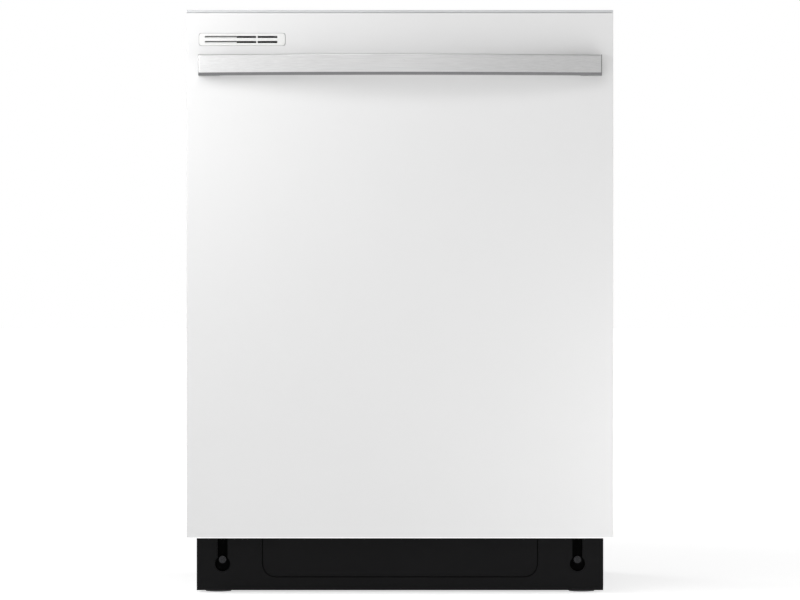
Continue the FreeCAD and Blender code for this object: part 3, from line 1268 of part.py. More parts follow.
def silverware_basket():
    """The cutlery basket: an open-topped box with dividers, slotted walls and a carrying bail."""
    x, y, z = (130, 222), (-140, 215), (160, 272)
    outer = box("cutlery_outer", x, y, z)
    cells_cut = []
    for row in range(2):
        for column in range(5):
            low_x = f"{x[0]} + 3 + {row} * 44.5"
            low_y = f"{y[0]} + 3 + {column} * 70.4"
            cells_cut.append(box(f"cutlery_cell_{row}_{column}", (low_x, f"{low_x} + 41.5"),
                                 (low_y, f"{low_y} + 67.4"), (f"{z[0]} + 4", f"{z[1]} + 1")))
    slots = []
    for row in range(5):
        up = f"{z[0]} + 18 + {row} * 17"
        for column in range(5):
            low_y = f"{y[0]} + 9 + {column} * 70.4"
            slots.append(box(f"cutlery_slot_{row}_{column}", (f"{x[0]} - 1", f"{x[1]} + 1"),
                             (low_y, f"{low_y} + 55"), (up, f"{up} + 8")))
    posts = [box(f"cutlery_post_{n}", (f"{(x[0] + x[1]) / 2} - 2", f"{(x[0] + x[1]) / 2} + 2"), at,
                 (f"{z[0]} + 4", "338"))
             for n, at in enumerate(((f"{y[0]} + 70.6", f"{y[0]} + 80.6"),
                                     (f"{y[0]} + 281.6", f"{y[0]} + 291.6")))]
    bail = box("cutlery_bail", (f"{(x[0] + x[1]) / 2} - 5", f"{(x[0] + x[1]) / 2} + 5"),
               (f"{y[0]} + 70.6", f"{y[0]} + 291.6"), ("332", "340"))
    walls = cut("cutlery_walls", outer, *cells_cut, *slots)
    spine = box("cutlery_spine", (f"{(x[0] + x[1]) / 2} - 1.4", f"{(x[0] + x[1]) / 2} + 1.4"),
                (f"{y[0]} + 1", f"{y[1]} - 1"), (f"{z[0]} + 2", f"{z[1]} - 1"))
    return node(fuse("cutlery", walls, spine, *posts, bail), "silverware_basket")


def upper_rack():
    """The upper rack: wire basket, three tine rows and the stubs for its rollers."""
    front = "rack_front + 2 * wire + 0.04"
    wires = basket("upper", "upper_half", front, "upper_floor", "upper_rim", 11, 7, 9, 7)
    wires += wires_up("upper_front", [(x, "rack_front")
                                      for x in spread("-upper_half + 12", "upper_half - 12", 9)],
                                      "upper_floor",
                      "upper_rim + rim_wire", "wire")
    floor = "upper_floor + 3 * wire + 0.08"
    for n, x in enumerate(("-130", "-40", "50")):
        wires += tines(f"upper_tine_{n}", x, spread("rack_front + 40", "rack_back - 44", 10), floor, "46")
    stubs = []
    edge = "upper_half + wire + 2 * rim_wire + 0.1"
    for side in (1, -1):
        for n, y in enumerate(ROLLER_ROWS):
            name = f"upper_{n}_{'right' if side > 0 else 'left'}"
            plate = (edge, f"{edge} + 2") if side > 0 else (f"-({edge}) - 2", f"-({edge})")
            start = f"{edge} + 1" if side > 0 else f"-({edge}) - 13"
            hanger = box(name + "_hanger", plate, (f"{y} - 14", f"{y} + 14"),
                         ("rail_up - 12", "rail_up + 30"))
            stubs.append(fuse(name + "_stub", hanger,
                              rod(name + "_axle", "4", "12", start, y, "rail_up", ALONG_X)))
    return node(group("upper_rack_wires", *wires, *stubs), "upper_rack")


ROLLER_ROWS = ("70", "215")


def upper_rollers():
    """The upper rack's rollers, which run inside its rails: one pair on each axle line."""
    for label, y in zip(("upper_rollers_front", "upper_rollers_back"), ROLLER_ROWS):
        section = [("4 + run_gap", "0"), ("roller_radius", "0"), ("roller_radius", "7"),
                   ("4 + run_gap", "7")]
        right = turned(label + "_turned", section, "rail_inner + 1.8", y, "rail_up", ALONG_X)
        node(both_sides(label + "_pair", right), label)


def upper_rails():
    """The two sliding channels between the wall rollers and the rack's rollers."""
    made = body("rail")
    inner, high, wall = "rail_inner", "rail_height / 2", "1.8"
    section = sketch(made, "rail_section", "XZ_Plane", "-rack_back")
    outline(section, [(inner, f"rail_up - {high}"), (f"{inner} + 11.6", f"rail_up - {high}"),
                      (f"{inner} + 11.6", f"rail_up + {high}"),
                      (inner, f"rail_up + {high}"), (inner, f"rail_up + {high} - {wall}"),
                      (f"{inner} + 11.6 - {wall}", f"rail_up + {high} - {wall}"),
                      (f"{inner} + 11.6 - {wall}", f"rail_up - {high} + {wall}"),
                      (inner, f"rail_up - {high} + {wall}")])
    pad(made, section, "rack_back - rack_front")
    return node(both_sides("rails", made), "upper_rails")


def cup_shelf():
    """The hinged cup shelf on the right of the upper rack, folded down."""
    x, z = "upper_half - 7", "upper_floor + 92"
    bar = rod("shelf_bar", "rim_wire", "280", x, "-80", z, ALONG_Y)
    edge = rod("shelf_edge", "rim_wire", "280", f"{x} - 90", "-80", z, ALONG_Y)
    middle = rod("shelf_middle", "wire", "280", f"{x} - 45", "-80", z, ALONG_Y)
    ribs = [rod(f"shelf_rib_{n}", "wire", "90", f"{x} - 90", y, z, ALONG_X) for n,
            y in enumerate(spread("-76", "196", 9))]
    return node(fuse("shelf", bar, edge, middle, *ribs), "cup_shelf")


# ---------------------------------------------------------------- build, check and write

def build():
    door_skin()
    door_liner()
    control_panel()
    touch_strip()
    control_board()
    handle()
    vent_grille()
    vent_flap()
    door_screws()
    dispenser_body()
    dispenser_lid()
    rinse_cap()
    latch_housing()
    latch_pawl()
    hinge_arms()
    hinge_links()
    door_springs()
    hinge_brackets()
    tub_walls()
    tub_floor()
    door_gasket()
    heater_element()
    supply_tube()
    rail_rollers()
    door_strike()
    mounting_brackets()
    sound_blanket()
    base_frame()
    levelling_feet()
    kick_plate()
    kick_plate_screws()
    sump_housing()
    wash_motor()
    wash_impeller()
    drain_pump()
    drain_hose()
    fill_hose()
    inlet_valve()
    junction_box()
    leak_float()
    cylinder_filter()
    spray_arm("lower_spray_arm", "arm_length", "arm_width", "lower_arm_up", "10", 6)
    spray_arm("upper_spray_arm", "arm_length - 20", "arm_width - 6", "upper_arm_up", "10", 6)
    spray_arm("top_spray_arm", "arm_length * 0.55", "arm_width - 10", "top_arm_up", "8", 4)
    upper_spray_hub()
    lower_rack()
    lower_wheels()
    fold_tines()
    silverware_basket()
    upper_rack()
    upper_rollers()
    upper_rails()
    cup_shelf()
    doc.recompute()


def check():
    """Stops if any object failed or any sub-part is not a valid solid."""
    bad = [f"{o.Name}: {o.State}" for o in doc.Objects if "Invalid" in o.State or "Error" in o.State]
    for item in NODES:
        shape = item.Shape
        if shape.isNull() or not shape.isValid() or not shape.Solids or shape.Volume <= 0:
            bad.append(f"{item.Label}: no valid solid")
    if bad:
        raise RuntimeError("the model has failed objects:\n" + "\n".join(bad))


def write():
    os.makedirs("parts", exist_ok=True)
    for item in NODES:
        item.Shape.exportStep(os.path.join("parts", item.Label + ".step"))
    print(f"{len(NODES)} nodes, {sum(len(i.Shape.Solids) for i in NODES)} solids")


build()
check()
write()
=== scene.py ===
import json
import math

import bmesh
import bpy
from mathutils import Matrix, Vector


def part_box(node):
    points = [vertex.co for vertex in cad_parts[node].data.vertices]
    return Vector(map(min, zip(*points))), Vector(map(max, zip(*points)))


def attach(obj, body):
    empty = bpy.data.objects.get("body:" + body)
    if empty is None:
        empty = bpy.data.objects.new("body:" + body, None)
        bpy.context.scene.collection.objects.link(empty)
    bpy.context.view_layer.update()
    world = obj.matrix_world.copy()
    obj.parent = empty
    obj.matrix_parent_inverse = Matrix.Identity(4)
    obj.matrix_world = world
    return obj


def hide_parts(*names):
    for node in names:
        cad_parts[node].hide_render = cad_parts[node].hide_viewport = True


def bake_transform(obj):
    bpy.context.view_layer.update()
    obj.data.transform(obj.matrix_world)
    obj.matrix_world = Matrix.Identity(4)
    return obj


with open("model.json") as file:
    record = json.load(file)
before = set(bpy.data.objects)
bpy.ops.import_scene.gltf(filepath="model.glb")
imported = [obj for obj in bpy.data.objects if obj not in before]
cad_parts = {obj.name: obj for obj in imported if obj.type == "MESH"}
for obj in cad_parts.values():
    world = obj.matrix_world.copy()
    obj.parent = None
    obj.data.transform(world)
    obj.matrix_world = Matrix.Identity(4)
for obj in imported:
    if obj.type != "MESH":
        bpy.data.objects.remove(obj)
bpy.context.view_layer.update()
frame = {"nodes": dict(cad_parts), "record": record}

# ---------------- sizes repeated from the solids, in metres

DOOR_FACE = -0.274
LINER_FACE = -0.219
HUB_Y = 0.048                # the spray arms' common axis
WIRE, RIM = 0.0019, 0.0026   # radius of a rack's wires, and of its rims
COLLECTION = bpy.context.scene.collection


# ---------------- materials

MATERIALS = {}
WORN_FROM, WORN_TO = 0.52, 0.72          # where in the fine noise the worn spots lie


def new_material(name):
    """A material with nodes, and the three things that every later line needs from it."""
    made = bpy.data.materials.new(name)
    made.use_nodes = True
    return made, made.node_tree.nodes, made.node_tree.links, made.node_tree.nodes["Principled BSDF"]


def tone(colour, factor):
    """The colour made lighter or darker, with an alpha of 1."""
    return tuple(max(0.0, min(1.0, c * factor)) for c in colour[:3]) + (1.0,)


def add_node(nodes, kind, values=(), **settings):
    """A shader node with the given settings, and then the given values at its inputs."""
    made = nodes.new("ShaderNode" + kind)
    for name, value in settings.items():
        setattr(made, name, value)
    for name, value in dict(values).items():
        made.inputs[name].default_value = value
    return made


def surface(name, colour, vary=0.06, scale=30.0, stretch=(1, 1, 1), rough=(0.4, 0.5), bump=0.1, grain=300.0,
            relief=0.0004, wear=0.0, **sockets):
    """A finish: large soft colour change, fine grain in roughness and height, and worn spots if asked for."""
    made, nodes, links, shader = new_material(name)
    for socket, value in sockets.items():
        shader.inputs[socket.replace("_", " ")].default_value = value
    place = nodes.new("ShaderNodeTexCoord")
    shape = add_node(nodes, "Mapping", {"Scale": stretch})
    links.new(place.outputs["Object"], shape.inputs["Vector"])
    broad = add_node(nodes, "TexNoise", {"Scale": scale, "Detail": 5.0})
    fine = add_node(nodes, "TexNoise", {"Scale": grain, "Detail": 3.0})
    for noise in (broad, fine):
        links.new(shape.outputs["Vector"], noise.inputs["Vector"])
    ramp = nodes.new("ShaderNodeValToRGB")
    for stop, position, factor in zip(ramp.color_ramp.elements, (0.3, 0.7), (1 - vary, 1 + vary)):
        stop.position, stop.color = position, tone(colour, factor)
    links.new(broad.outputs["Fac"], ramp.inputs["Fac"])
    colour_out = ramp.outputs["Color"]
    if wear:
        spots = add_node(nodes, "Mix", {"B": tone(colour, 1 - wear)}, data_type="RGBA")
        pick = add_node(nodes, "MapRange", {"From Min": WORN_FROM, "From Max": WORN_TO})
        links.new(fine.outputs["Fac"], pick.inputs["Value"])
        links.new(pick.outputs["Result"], spots.inputs["Factor"])
        links.new(colour_out, spots.inputs["A"])
        colour_out = spots.outputs["Result"]
    links.new(colour_out, shader.inputs["Base Color"])
    gloss = add_node(nodes, "MapRange", {"To Min": rough[0], "To Max": rough[1]})
    links.new(fine.outputs["Fac"], gloss.inputs["Value"])
    links.new(gloss.outputs["Result"], shader.inputs["Roughness"])
    height = add_node(nodes, "Bump", {"Strength": bump, "Distance": relief})
    links.new(fine.outputs["Fac"], height.inputs["Height"])
    links.new(height.outputs["Normal"], shader.inputs["Normal"])
    MATERIALS[name] = made


surface("door_enamel", (0.76, 0.76, 0.76), 0.006, 3.0, rough=(0.20, 0.24), bump=0.04, grain=420.0,
        relief=0.0001, Coat_Weight=0.25, Coat_Roughness=0.16)
surface("handle_steel", (0.73, 0.73, 0.73), 0.05, 40.0, (0.6, 18, 18), (0.24, 0.38), 0.22, 130.0, 0.0002,
        Metallic=1.0)
surface("vent_plastic", (0.80, 0.80, 0.79), 0.01, 20.0, rough=(0.22, 0.30), bump=0.04, grain=700.0)
# the flaps are made near black with weak gloss, as painted shade in the open vent slots
surface("flap_plastic", (0.004, 0.004, 0.0042), 0.2, 60.0, rough=(0.5, 0.65), grain=900.0,
        Specular_IOR_Level=0.15)
surface("panel_plastic", (0.62, 0.63, 0.64), 0.02, 12.0, rough=(0.28, 0.36), bump=0.06, grain=900.0)
surface("touch_surface", (0.045, 0.046, 0.050), 0.06, 8.0, rough=(0.10, 0.16), bump=0.03, grain=500.0)
surface("board_green", (0.020, 0.13, 0.055), 0.18, 60.0, rough=(0.3, 0.45), grain=600.0)
surface("stainless", (0.68, 0.68, 0.67), 0.06, 26.0, (18, 18, 0.7), (0.24, 0.40), 0.20, 95.0, 0.0002,
        Metallic=1.0)
surface("floor_plastic", (0.20, 0.215, 0.23), 0.07, 14.0, rough=(0.42, 0.58), bump=0.25, grain=800.0)
surface("arm_plastic", (0.13, 0.14, 0.155), 0.07, 16.0, rough=(0.34, 0.46), bump=0.2, grain=800.0)
surface("filter_plastic", (0.085, 0.095, 0.11), 0.1, 30.0, rough=(0.4, 0.55), bump=0.3, grain=900.0)
surface("seal_rubber", (0.042, 0.042, 0.045), 0.12, 40.0, rough=(0.62, 0.78), bump=0.3, grain=700.0,
        wear=0.2)
surface("hose_rubber", (0.105, 0.108, 0.112), 0.12, 40.0, rough=(0.5, 0.66), bump=0.25, grain=600.0,
        wear=0.15)
surface("base_plastic", (0.014, 0.014, 0.015), 0.12, 20.0, rough=(0.5, 0.68), bump=0.35, grain=650.0)
surface("kick_black", (0.0042, 0.0042, 0.0046), 0.10, 10.0, rough=(0.36, 0.46), bump=0.10, grain=500.0,
        relief=0.0002, Specular_IOR_Level=0.10)
surface("black_screw", (0.035, 0.035, 0.037), 0.3, 300.0, rough=(0.28, 0.42), bump=0.1, Metallic=1.0)
surface("zinc", (0.50, 0.51, 0.50), 0.16, 90.0, rough=(0.30, 0.48), bump=0.15, grain=400.0, wear=0.25,
        Metallic=1.0)
surface("spring_steel", (0.26, 0.26, 0.27), 0.12, 120.0, rough=(0.28, 0.42), bump=0.1, Metallic=1.0)
surface("felt", (0.034, 0.034, 0.037), 0.45, 160.0, rough=(0.88, 1.0), bump=0.9, grain=520.0,
        relief=0.0015, wear=0.5, Sheen_Weight=0.35, Sheen_Roughness=0.6)
surface("motor_metal", (0.055, 0.058, 0.062), 0.1, 40.0, rough=(0.35, 0.5), bump=0.2, grain=500.0)
surface("pump_plastic", (0.022, 0.022, 0.024), 0.15, 40.0, rough=(0.45, 0.6), bump=0.3, grain=700.0)
surface("valve_plastic", (0.64, 0.64, 0.61), 0.04, 30.0, rough=(0.4, 0.52), bump=0.15, grain=800.0)
surface("heater_tube", (0.20, 0.18, 0.165), 0.28, 60.0, rough=(0.34, 0.55), bump=0.15, grain=500.0,
        wear=0.2, Metallic=1.0)
surface("rack_nylon", (0.27, 0.30, 0.34), 0.05, 50.0, rough=(0.34, 0.46), bump=0.18, grain=900.0)
surface("rail_steel", (0.56, 0.56, 0.55), 0.07, 30.0, (18, 0.7, 18), (0.24, 0.38), 0.15, 110.0, 0.0002,
        Metallic=1.0)
surface("roller_plastic", (0.46, 0.47, 0.48), 0.05, 50.0, rough=(0.4, 0.5), bump=0.15, grain=900.0)
surface("basket_plastic", (0.20, 0.225, 0.255), 0.06, 30.0, rough=(0.38, 0.5), bump=0.2, grain=900.0)
surface("dispenser_plastic", (0.32, 0.33, 0.35), 0.05, 20.0, rough=(0.38, 0.5), bump=0.2, grain=900.0)
surface("lid_plastic", (0.50, 0.51, 0.52), 0.04, 20.0, rough=(0.36, 0.46), bump=0.18, grain=900.0)
surface("foot_plastic", (0.050, 0.050, 0.053), 0.1, 60.0, rough=(0.5, 0.64), bump=0.25, grain=700.0,
        wear=0.2)
surface("icon_white", (0.62, 0.64, 0.66), 0.03, 90.0, rough=(0.4, 0.5), bump=0.02)
surface("chip_black", (0.018, 0.018, 0.019), 0.2, 200.0, rough=(0.35, 0.5), bump=0.2)
# deep_black is painted shade: it colours the line in the toe-kick's groove, the pads in its keyhole recesses
# and the strips over the vent's blind slots
surface("deep_black", (0.0012, 0.0012, 0.0012), 0.2, 60.0, rough=(0.7, 0.8), bump=0.02,
        Specular_IOR_Level=0.02)
# gap_grey is painted shadow: the grey line round the vent's bezel
surface("gap_grey", (0.40, 0.40, 0.40), 0.08, 60.0, rough=(0.6, 0.7), bump=0.02, Specular_IOR_Level=0.2)


def tint_where(material, output, axis, begin, finish, colour):
    """Mixes in a second tone where one part of the object's normal or position runs from begin to finish."""
    nodes, links = material.node_tree.nodes, material.node_tree.links
    base = nodes["Principled BSDF"].inputs["Base Color"]
    first = base.links[0].from_socket
    place, parts = nodes.new("ShaderNodeTexCoord"), nodes.new("ShaderNodeSeparateXYZ")
    pick = add_node(nodes, "MapRange", {"From Min": begin, "From Max": finish})
    mix = add_node(nodes, "Mix", {"B": (*colour, 1)}, data_type="RGBA")
    links.new(place.outputs[output], parts.inputs["Vector"])
    links.new(parts.outputs[axis], pick.inputs["Value"])
    links.new(pick.outputs["Result"], mix.inputs["Factor"])
    links.new(first, mix.inputs["A"])
    links.new(mix.outputs["Result"], base)


# painted shade and a painted highlight: a darker bevel and dark end rims painted on the bar, darker chamfers
# painted on the toe-kick, a bright line painted along the door's hem
PAINTED_BEVEL_SHADE, PAINTED_RIM_SHADE, PAINTED_END_SHADE = (0.20, 0.20, 0.205), (0.03, 0.03, 0.031), (0.55,) * 3
# painted shade for the toe-kick's chamfers
PAINTED_CHAMFER_SHADE = (0.0004,) * 3
# painted shade: the bar's downward-facing bevel is darkened
tint_where(MATERIALS["handle_steel"], "Normal", "Z", -0.25, -0.60, PAINTED_BEVEL_SHADE)
# painted shade: a dark line on the bar's rounded ends and a mid grey on its flat end faces
for side in (-1, 1):
    tint_where(MATERIALS["handle_steel"], "Normal", "X", 0.30 * side, 0.62 * side, PAINTED_RIM_SHADE)
    tint_where(MATERIALS["handle_steel"], "Normal", "X", 0.93 * side, 0.985 * side, PAINTED_END_SHADE)
    tint_where(MATERIALS["kick_black"], "Normal", "X", 0.45 * side, 0.65 * side, PAINTED_CHAMFER_SHADE)
# painted shade: the toe-kick's lower chamfer is darkened here, its side chamfers in the loop above
tint_where(MATERIALS["kick_black"], "Normal", "Z", -0.45, -0.65, PAINTED_CHAMFER_SHADE)
HEM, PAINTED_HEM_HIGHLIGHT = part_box("door_skin")[0][2], (0.97,) * 3
# painted highlight: a near white line along the bottom edge of the door's skin
tint_where(MATERIALS["door_enamel"], "Object", "Z", HEM + 0.0019, HEM + 0.0013, PAINTED_HEM_HIGHLIGHT)

SLOT_OF = {row["node"]: row["material_slot"] for row in frame["record"]["subparts"]}
LOOKS_LIKE = {"kick_plate_screws": "black_screw"}          # a node whose finish differs from its slot's


def settle(piece, finish, body=None, node=None):
    """Gives a piece its finish, hides the node that it stands for, and hangs it on the body that it rides on.
    """
    piece.data.materials.clear()
    piece.data.materials.append(MATERIALS[finish])
    if node:
        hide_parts(node)
    if body:
        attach(piece, body)


for node_name, node_object in frame["nodes"].items():
    for index in range(len(node_object.data.materials)):
        node_object.data.materials[index] = MATERIALS[LOOKS_LIKE.get(node_name, SLOT_OF[node_name])]


# ---------------- mesh helpers

def new_object(name, data):
    """An object for the data, linked into the scene."""
    made = bpy.data.objects.new(name, data)
    COLLECTION.objects.link(made)
    return made


def shade(data, smooth=True):
    """Shades every face of a mesh smooth or flat."""
    data.polygons.foreach_set("use_smooth", [smooth] * len(data.polygons))


def mesh_object(name, vertices, faces):
    """A smooth-shaded piece from bare vertices and faces."""
    data = bpy.data.meshes.new(name)
    data.from_pydata([tuple(v) for v in vertices], [], faces)
    data.validate()
    shade(data)
    data.update()
    return new_object(name, data)


def from_bmesh(name, work, smooth=False):
    """A piece from a bmesh, which is freed."""
    data = bpy.data.meshes.new(name)
    bmesh.ops.recalc_face_normals(work, faces=work.faces)
    work.to_mesh(data)
    work.free()
    shade(data, smooth)
    return new_object(name, data)


def apply_modifiers(obj):
    """Puts what the modifiers make into the mesh itself, and removes them."""
    graph = bpy.context.evaluated_depsgraph_get()
    data = bpy.data.meshes.new_from_object(obj.evaluated_get(graph))
    obj.modifiers.clear()
    obj.data = data
    return obj


def rounded_path(points, radius, steps=6, closed=False):
    """Straight runs through the points, with an arc of the given radius at each corner."""
    spots = [Vector(p) for p in points]
    count = len(spots)
    path = [] if closed else [spots[0]]
    for n in range(0 if closed else 1, count if closed else count - 1):
        before, corner, after = spots[n - 1], spots[n], spots[(n + 1) % count]
        to_before, to_after = (before - corner), (after - corner)
        angle = to_before.angle(to_after)
        if angle > math.pi - 0.02:
            path.append(corner)
            continue
        reach = min(radius / math.tan(angle / 2), to_before.length * 0.49, to_after.length * 0.49)
        start, end = corner + to_before.normalized() * reach, corner + to_after.normalized() * reach
        for step in range(steps + 1):
            t = step / steps
            path.append(start * (1 - t) ** 2 + corner * 2 * t * (1 - t) + end * t ** 2)
    if not closed:
        path.append(spots[-1])
    return path


def ring_faces(a, b, sides):
    """The quads between two rings of points, which start at a and at b."""
    return [(a + k, a + (k + 1) % sides, b + (k + 1) % sides, b + k) for k in range(sides)]


class Tubes:
    """Collects round bars along paths into one mesh."""

    def __init__(self):
        self.vertices, self.faces = [], []

    def add(self, path, radius, sides=10, closed=False, cap=True):
        """radius is a number, or a function of (index, point)."""
        path = [Vector(p) for p in path]
        count = len(path)
        base = len(self.vertices)
        tangent = (path[1] - path[0]).normalized()
        side = tangent.orthogonal().normalized()
        for n, point in enumerate(path):
            before = path[n - 1] if n or closed else path[0]
            after = path[(n + 1) % count] if n < count - 1 or closed else path[-1]
            heading = (after - before).normalized()
            turn = tangent.rotation_difference(heading)
            side = (turn @ side).normalized()
            tangent = heading
            across = tangent.cross(side)
            size = radius(n, point) if callable(radius) else radius
            for k in range(sides):
                angle = 2 * math.pi * k / sides
                self.vertices.append(point + (side * math.cos(angle) + across * math.sin(angle)) * size)
        for n in range(count if closed else count - 1):
            self.faces += ring_faces(base + n * sides, base + ((n + 1) % count) * sides, sides)
        if cap and not closed:
            last = base + (count - 1) * sides
            for ring, point, inner in ((base, path[0], path[1]), (last, path[-1], path[-2])):
                size = (self.vertices[ring] - point).length
                tip = len(self.vertices)
                self.vertices.append(point + (point - inner).normalized() * size * 0.6)
                for k in range(sides):
                    j = (k + 1) % sides
                    one, two = (j, k) if ring == base else (k, j)
                    self.faces.append((ring + one, ring + two, tip))
        return self

    def to_object(self, name):
        """The piece that holds every bar so far."""
        return mesh_object(name, self.vertices, self.faces)


def lathe(name, profile, centre, axis="Z", sides=48):
    """A turned piece: profile is (radius, height) pairs, closed on itself."""
    vertices, faces = [], []
    for radius, height in profile:
        for k in range(sides):
            angle = 2 * math.pi * k / sides
            flat = (radius * math.cos(angle), radius * math.sin(angle))
            spot = {"X": (height, *flat), "Y": (flat[0], height, flat[1]), "Z": (*flat, height)}[axis]
            vertices.append(Vector(centre) + Vector(spot))
    rings = len(profile)
    for n in range(rings):
        faces += ring_faces(n * sides, ((n + 1) % rings) * sides, sides)
    made = mesh_object(name, vertices, faces)
    work = bmesh.new()
    work.from_mesh(made.data)
    bmesh.ops.remove_doubles(work, verts=work.verts, dist=1e-6)
    bmesh.ops.recalc_face_normals(work, faces=work.faces)
    work.to_mesh(made.data)
    work.free()
    return made


def add_turned(work, profile, centre, axis, sides):
    """A turned piece added to a bmesh."""
    piece = lathe("turned", profile, centre, axis, sides)
    work.from_mesh(piece.data)
    bpy.data.objects.remove(piece)


def soft_box(work, low, high, bevel=0.0008, segments=2):
    """A bevelled block added to a bmesh."""
    low, high = Vector(low), Vector(high)
    cube = bmesh.ops.create_cube(work, size=1.0)["verts"]
    bmesh.ops.scale(work, vec=high - low, verts=cube)
    bmesh.ops.translate(work, vec=(low + high) / 2, verts=cube)
    edges = list({e for v in cube for e in v.link_edges})
    if bevel:
        bmesh.ops.bevel(work, geom=edges, offset=bevel, segments=segments, affect="EDGES", profile=0.5)


def blocks(name, boxes, bevel=0.0008):
    """One piece made of several blocks, each given by its two corners."""
    work = bmesh.new()
    for low, high in boxes:
        soft_box(work, low, high, bevel)
    return from_bmesh(name, work)


def spread(low, high, count):
    """Evenly spaced numbers from low to high, both ends included."""
    return [low + (high - low) * n / (count - 1) for n in range(count)]


# ---------------- racks

def rack(name, half, front, floor, rim, toe, tine_rows, tine_height, tine_count):
    """A coated wire rack: bent floor wires that rise on all four sides, closed rims and hairpin tines."""
    top, back = rim + RIM, 0.272
    tubes = Tubes()
    for x in spread(-half + 0.012, half - 0.012, 11):
        path = [(x, back, top), (x, back, floor), (x, front + 0.0006, floor), (x, front - toe + 0.0006, top)]
        tubes.add(rounded_path(path, 0.012), WIRE)
    cross = floor + 2 * WIRE - 0.0002
    for y in spread(front + 0.024, back - 0.024, 9):
        path = [(-half, y, top), (-half, y, cross), (half, y, cross), (half, y, top)]
        tubes.add(rounded_path(path, 0.014), WIRE)
    out = half + WIRE + RIM - 0.0002
    mouth = front - toe
    for level, lean in ((rim, 0.0), (floor + (rim - floor) * 0.5, toe * 0.5)):
        y0, y1 = mouth - WIRE - RIM + lean, back + WIRE + RIM
        loop = [(-out, y0, level), (out, y0, level), (out, y1, level), (-out, y1, level)]
        tubes.add(rounded_path(loop, 0.022, closed=True), RIM if level == rim else WIRE + 0.0003, closed=True)
    seat = cross + 2 * WIRE - 0.0004
    for x in tine_rows:
        rows = spread(front + 0.040, back - 0.044, tine_count)
        for n in range(0, len(rows) - 1, 2):
            a, b = rows[n], rows[n + 1]
            path = [(x, a, floor + tine_height), (x, a, seat), (x, b, seat), (x, b, floor + tine_height)]
            tubes.add(rounded_path(path, 0.008), WIRE - 0.0002)
        if len(rows) % 2:
            tubes.add([(x, rows[-1], floor + tine_height), (x, rows[-1], seat)], WIRE - 0.0002)
        rail_x, rail_z = x + 0.0036, seat + 0.016
        tubes.add([(rail_x, rows[0] - 0.012, rail_z), (rail_x, rows[-1] + 0.012, rail_z)], WIRE)
    return tubes.to_object(name)


def tine_caps(name, spots, height):
    """The soft vinyl caps on the tines' tips."""
    tubes = Tubes()
    for x, y in spots:
        path = [(x, y, height - 0.009), (x, y, height - 0.006), (x, y, height), (x, y, height + 0.0016)]
        sizes = (WIRE * 0.98, WIRE * 1.32, WIRE * 1.30, WIRE * 0.8)
        tubes.add(path, lambda n, p: sizes[n], 12)
    return tubes.to_object(name)


LOWER_FLOOR, LOWER_RIM, LOWER_HALF, LOWER_FRONT, LOWER_TOE = 0.152, 0.300, 0.238, -0.154, 0.036
UPPER_FLOOR, UPPER_RIM, UPPER_HALF, UPPER_FRONT = 0.506, 0.640, 0.232, -0.190
LOWER_TINES, UPPER_TINES = (-0.175, -0.110, 0.070), (-0.130, -0.040, 0.050)
WHEEL_ROWS, ROLLER_ROWS = (-0.062, 0.030, 0.130, 0.225), (0.070, 0.215)
WHEEL_UP, ROLLER_UP = 0.139, 0.569
TINES_BACK = 0.228
RACKS = (("lower", LOWER_HALF, LOWER_FRONT, LOWER_FLOOR, LOWER_RIM, LOWER_TOE, LOWER_TINES, 0.088, 11),
         ("upper", UPPER_HALF, UPPER_FRONT, UPPER_FLOOR, UPPER_RIM, 0.0, UPPER_TINES, 0.050, 10))
for label, *sizes in RACKS:
    settle(rack(label + "_rack_wires", *sizes), "rack_nylon", label + "_rack", label + "_rack")
for label, _, front, floor, _, _, tine_rows, tall, tine_count in RACKS:
    tips = [(x, y) for x in tine_rows for y in spread(front + 0.040, TINES_BACK, tine_count)]
    caps = tine_caps(label + "_tine_caps", tips, floor + tall)
    settle(caps, "seal_rubber", label + "_rack")


def wheel_mounts(name, rows, edge, up, low, high, length):
    """Moulded hangers clipped over the wires, each with its axle."""
    work = bmesh.new()
    for side in (1, -1):
        for y in rows:
            x0, x1 = sorted((side * edge, side * (edge + 0.002)))
            soft_box(work, (x0, y - 0.0075, low), (x1, y + 0.0075, high), 0.0009)
            for z in (low + 0.010, high - 0.006):
                x0, x1 = sorted((side * (edge - 0.0008), side * (edge + 0.0028)))
                soft_box(work, (x0, y - 0.0088, z - 0.002), (x1, y + 0.0088, z + 0.002), 0.0007)
    made = from_bmesh(name, work)
    axles = Tubes()
    for side in (1, -1):
        for y in rows:
            axles.add([(side * (edge + 0.001), y, up), (side * (edge + length), y, up)], 0.0039, 20)
    joined = axles.to_object(name + "_axles")
    joined.parent = made
    return made, joined


for owner, rows, edge, up, low, high, length in (
        ("lower_rack", WHEEL_ROWS, LOWER_HALF + 0.002, WHEEL_UP, 0.133, 0.176, 0.0135),
        ("upper_rack", ROLLER_ROWS, UPPER_HALF + 0.0072, ROLLER_UP, 0.557, 0.599, 0.0125)):
    hangers, stubs = wheel_mounts(owner + "_hangers", rows, edge, up, low, high, length)
    settle(hangers, "roller_plastic", owner)
    settle(stubs, "roller_plastic")


BOX_SIDES = ((0, 1, 3, 2), (4, 6, 7, 5), (0, 4, 5, 1), (2, 3, 7, 6), (0, 2, 6, 4), (1, 5, 7, 3))


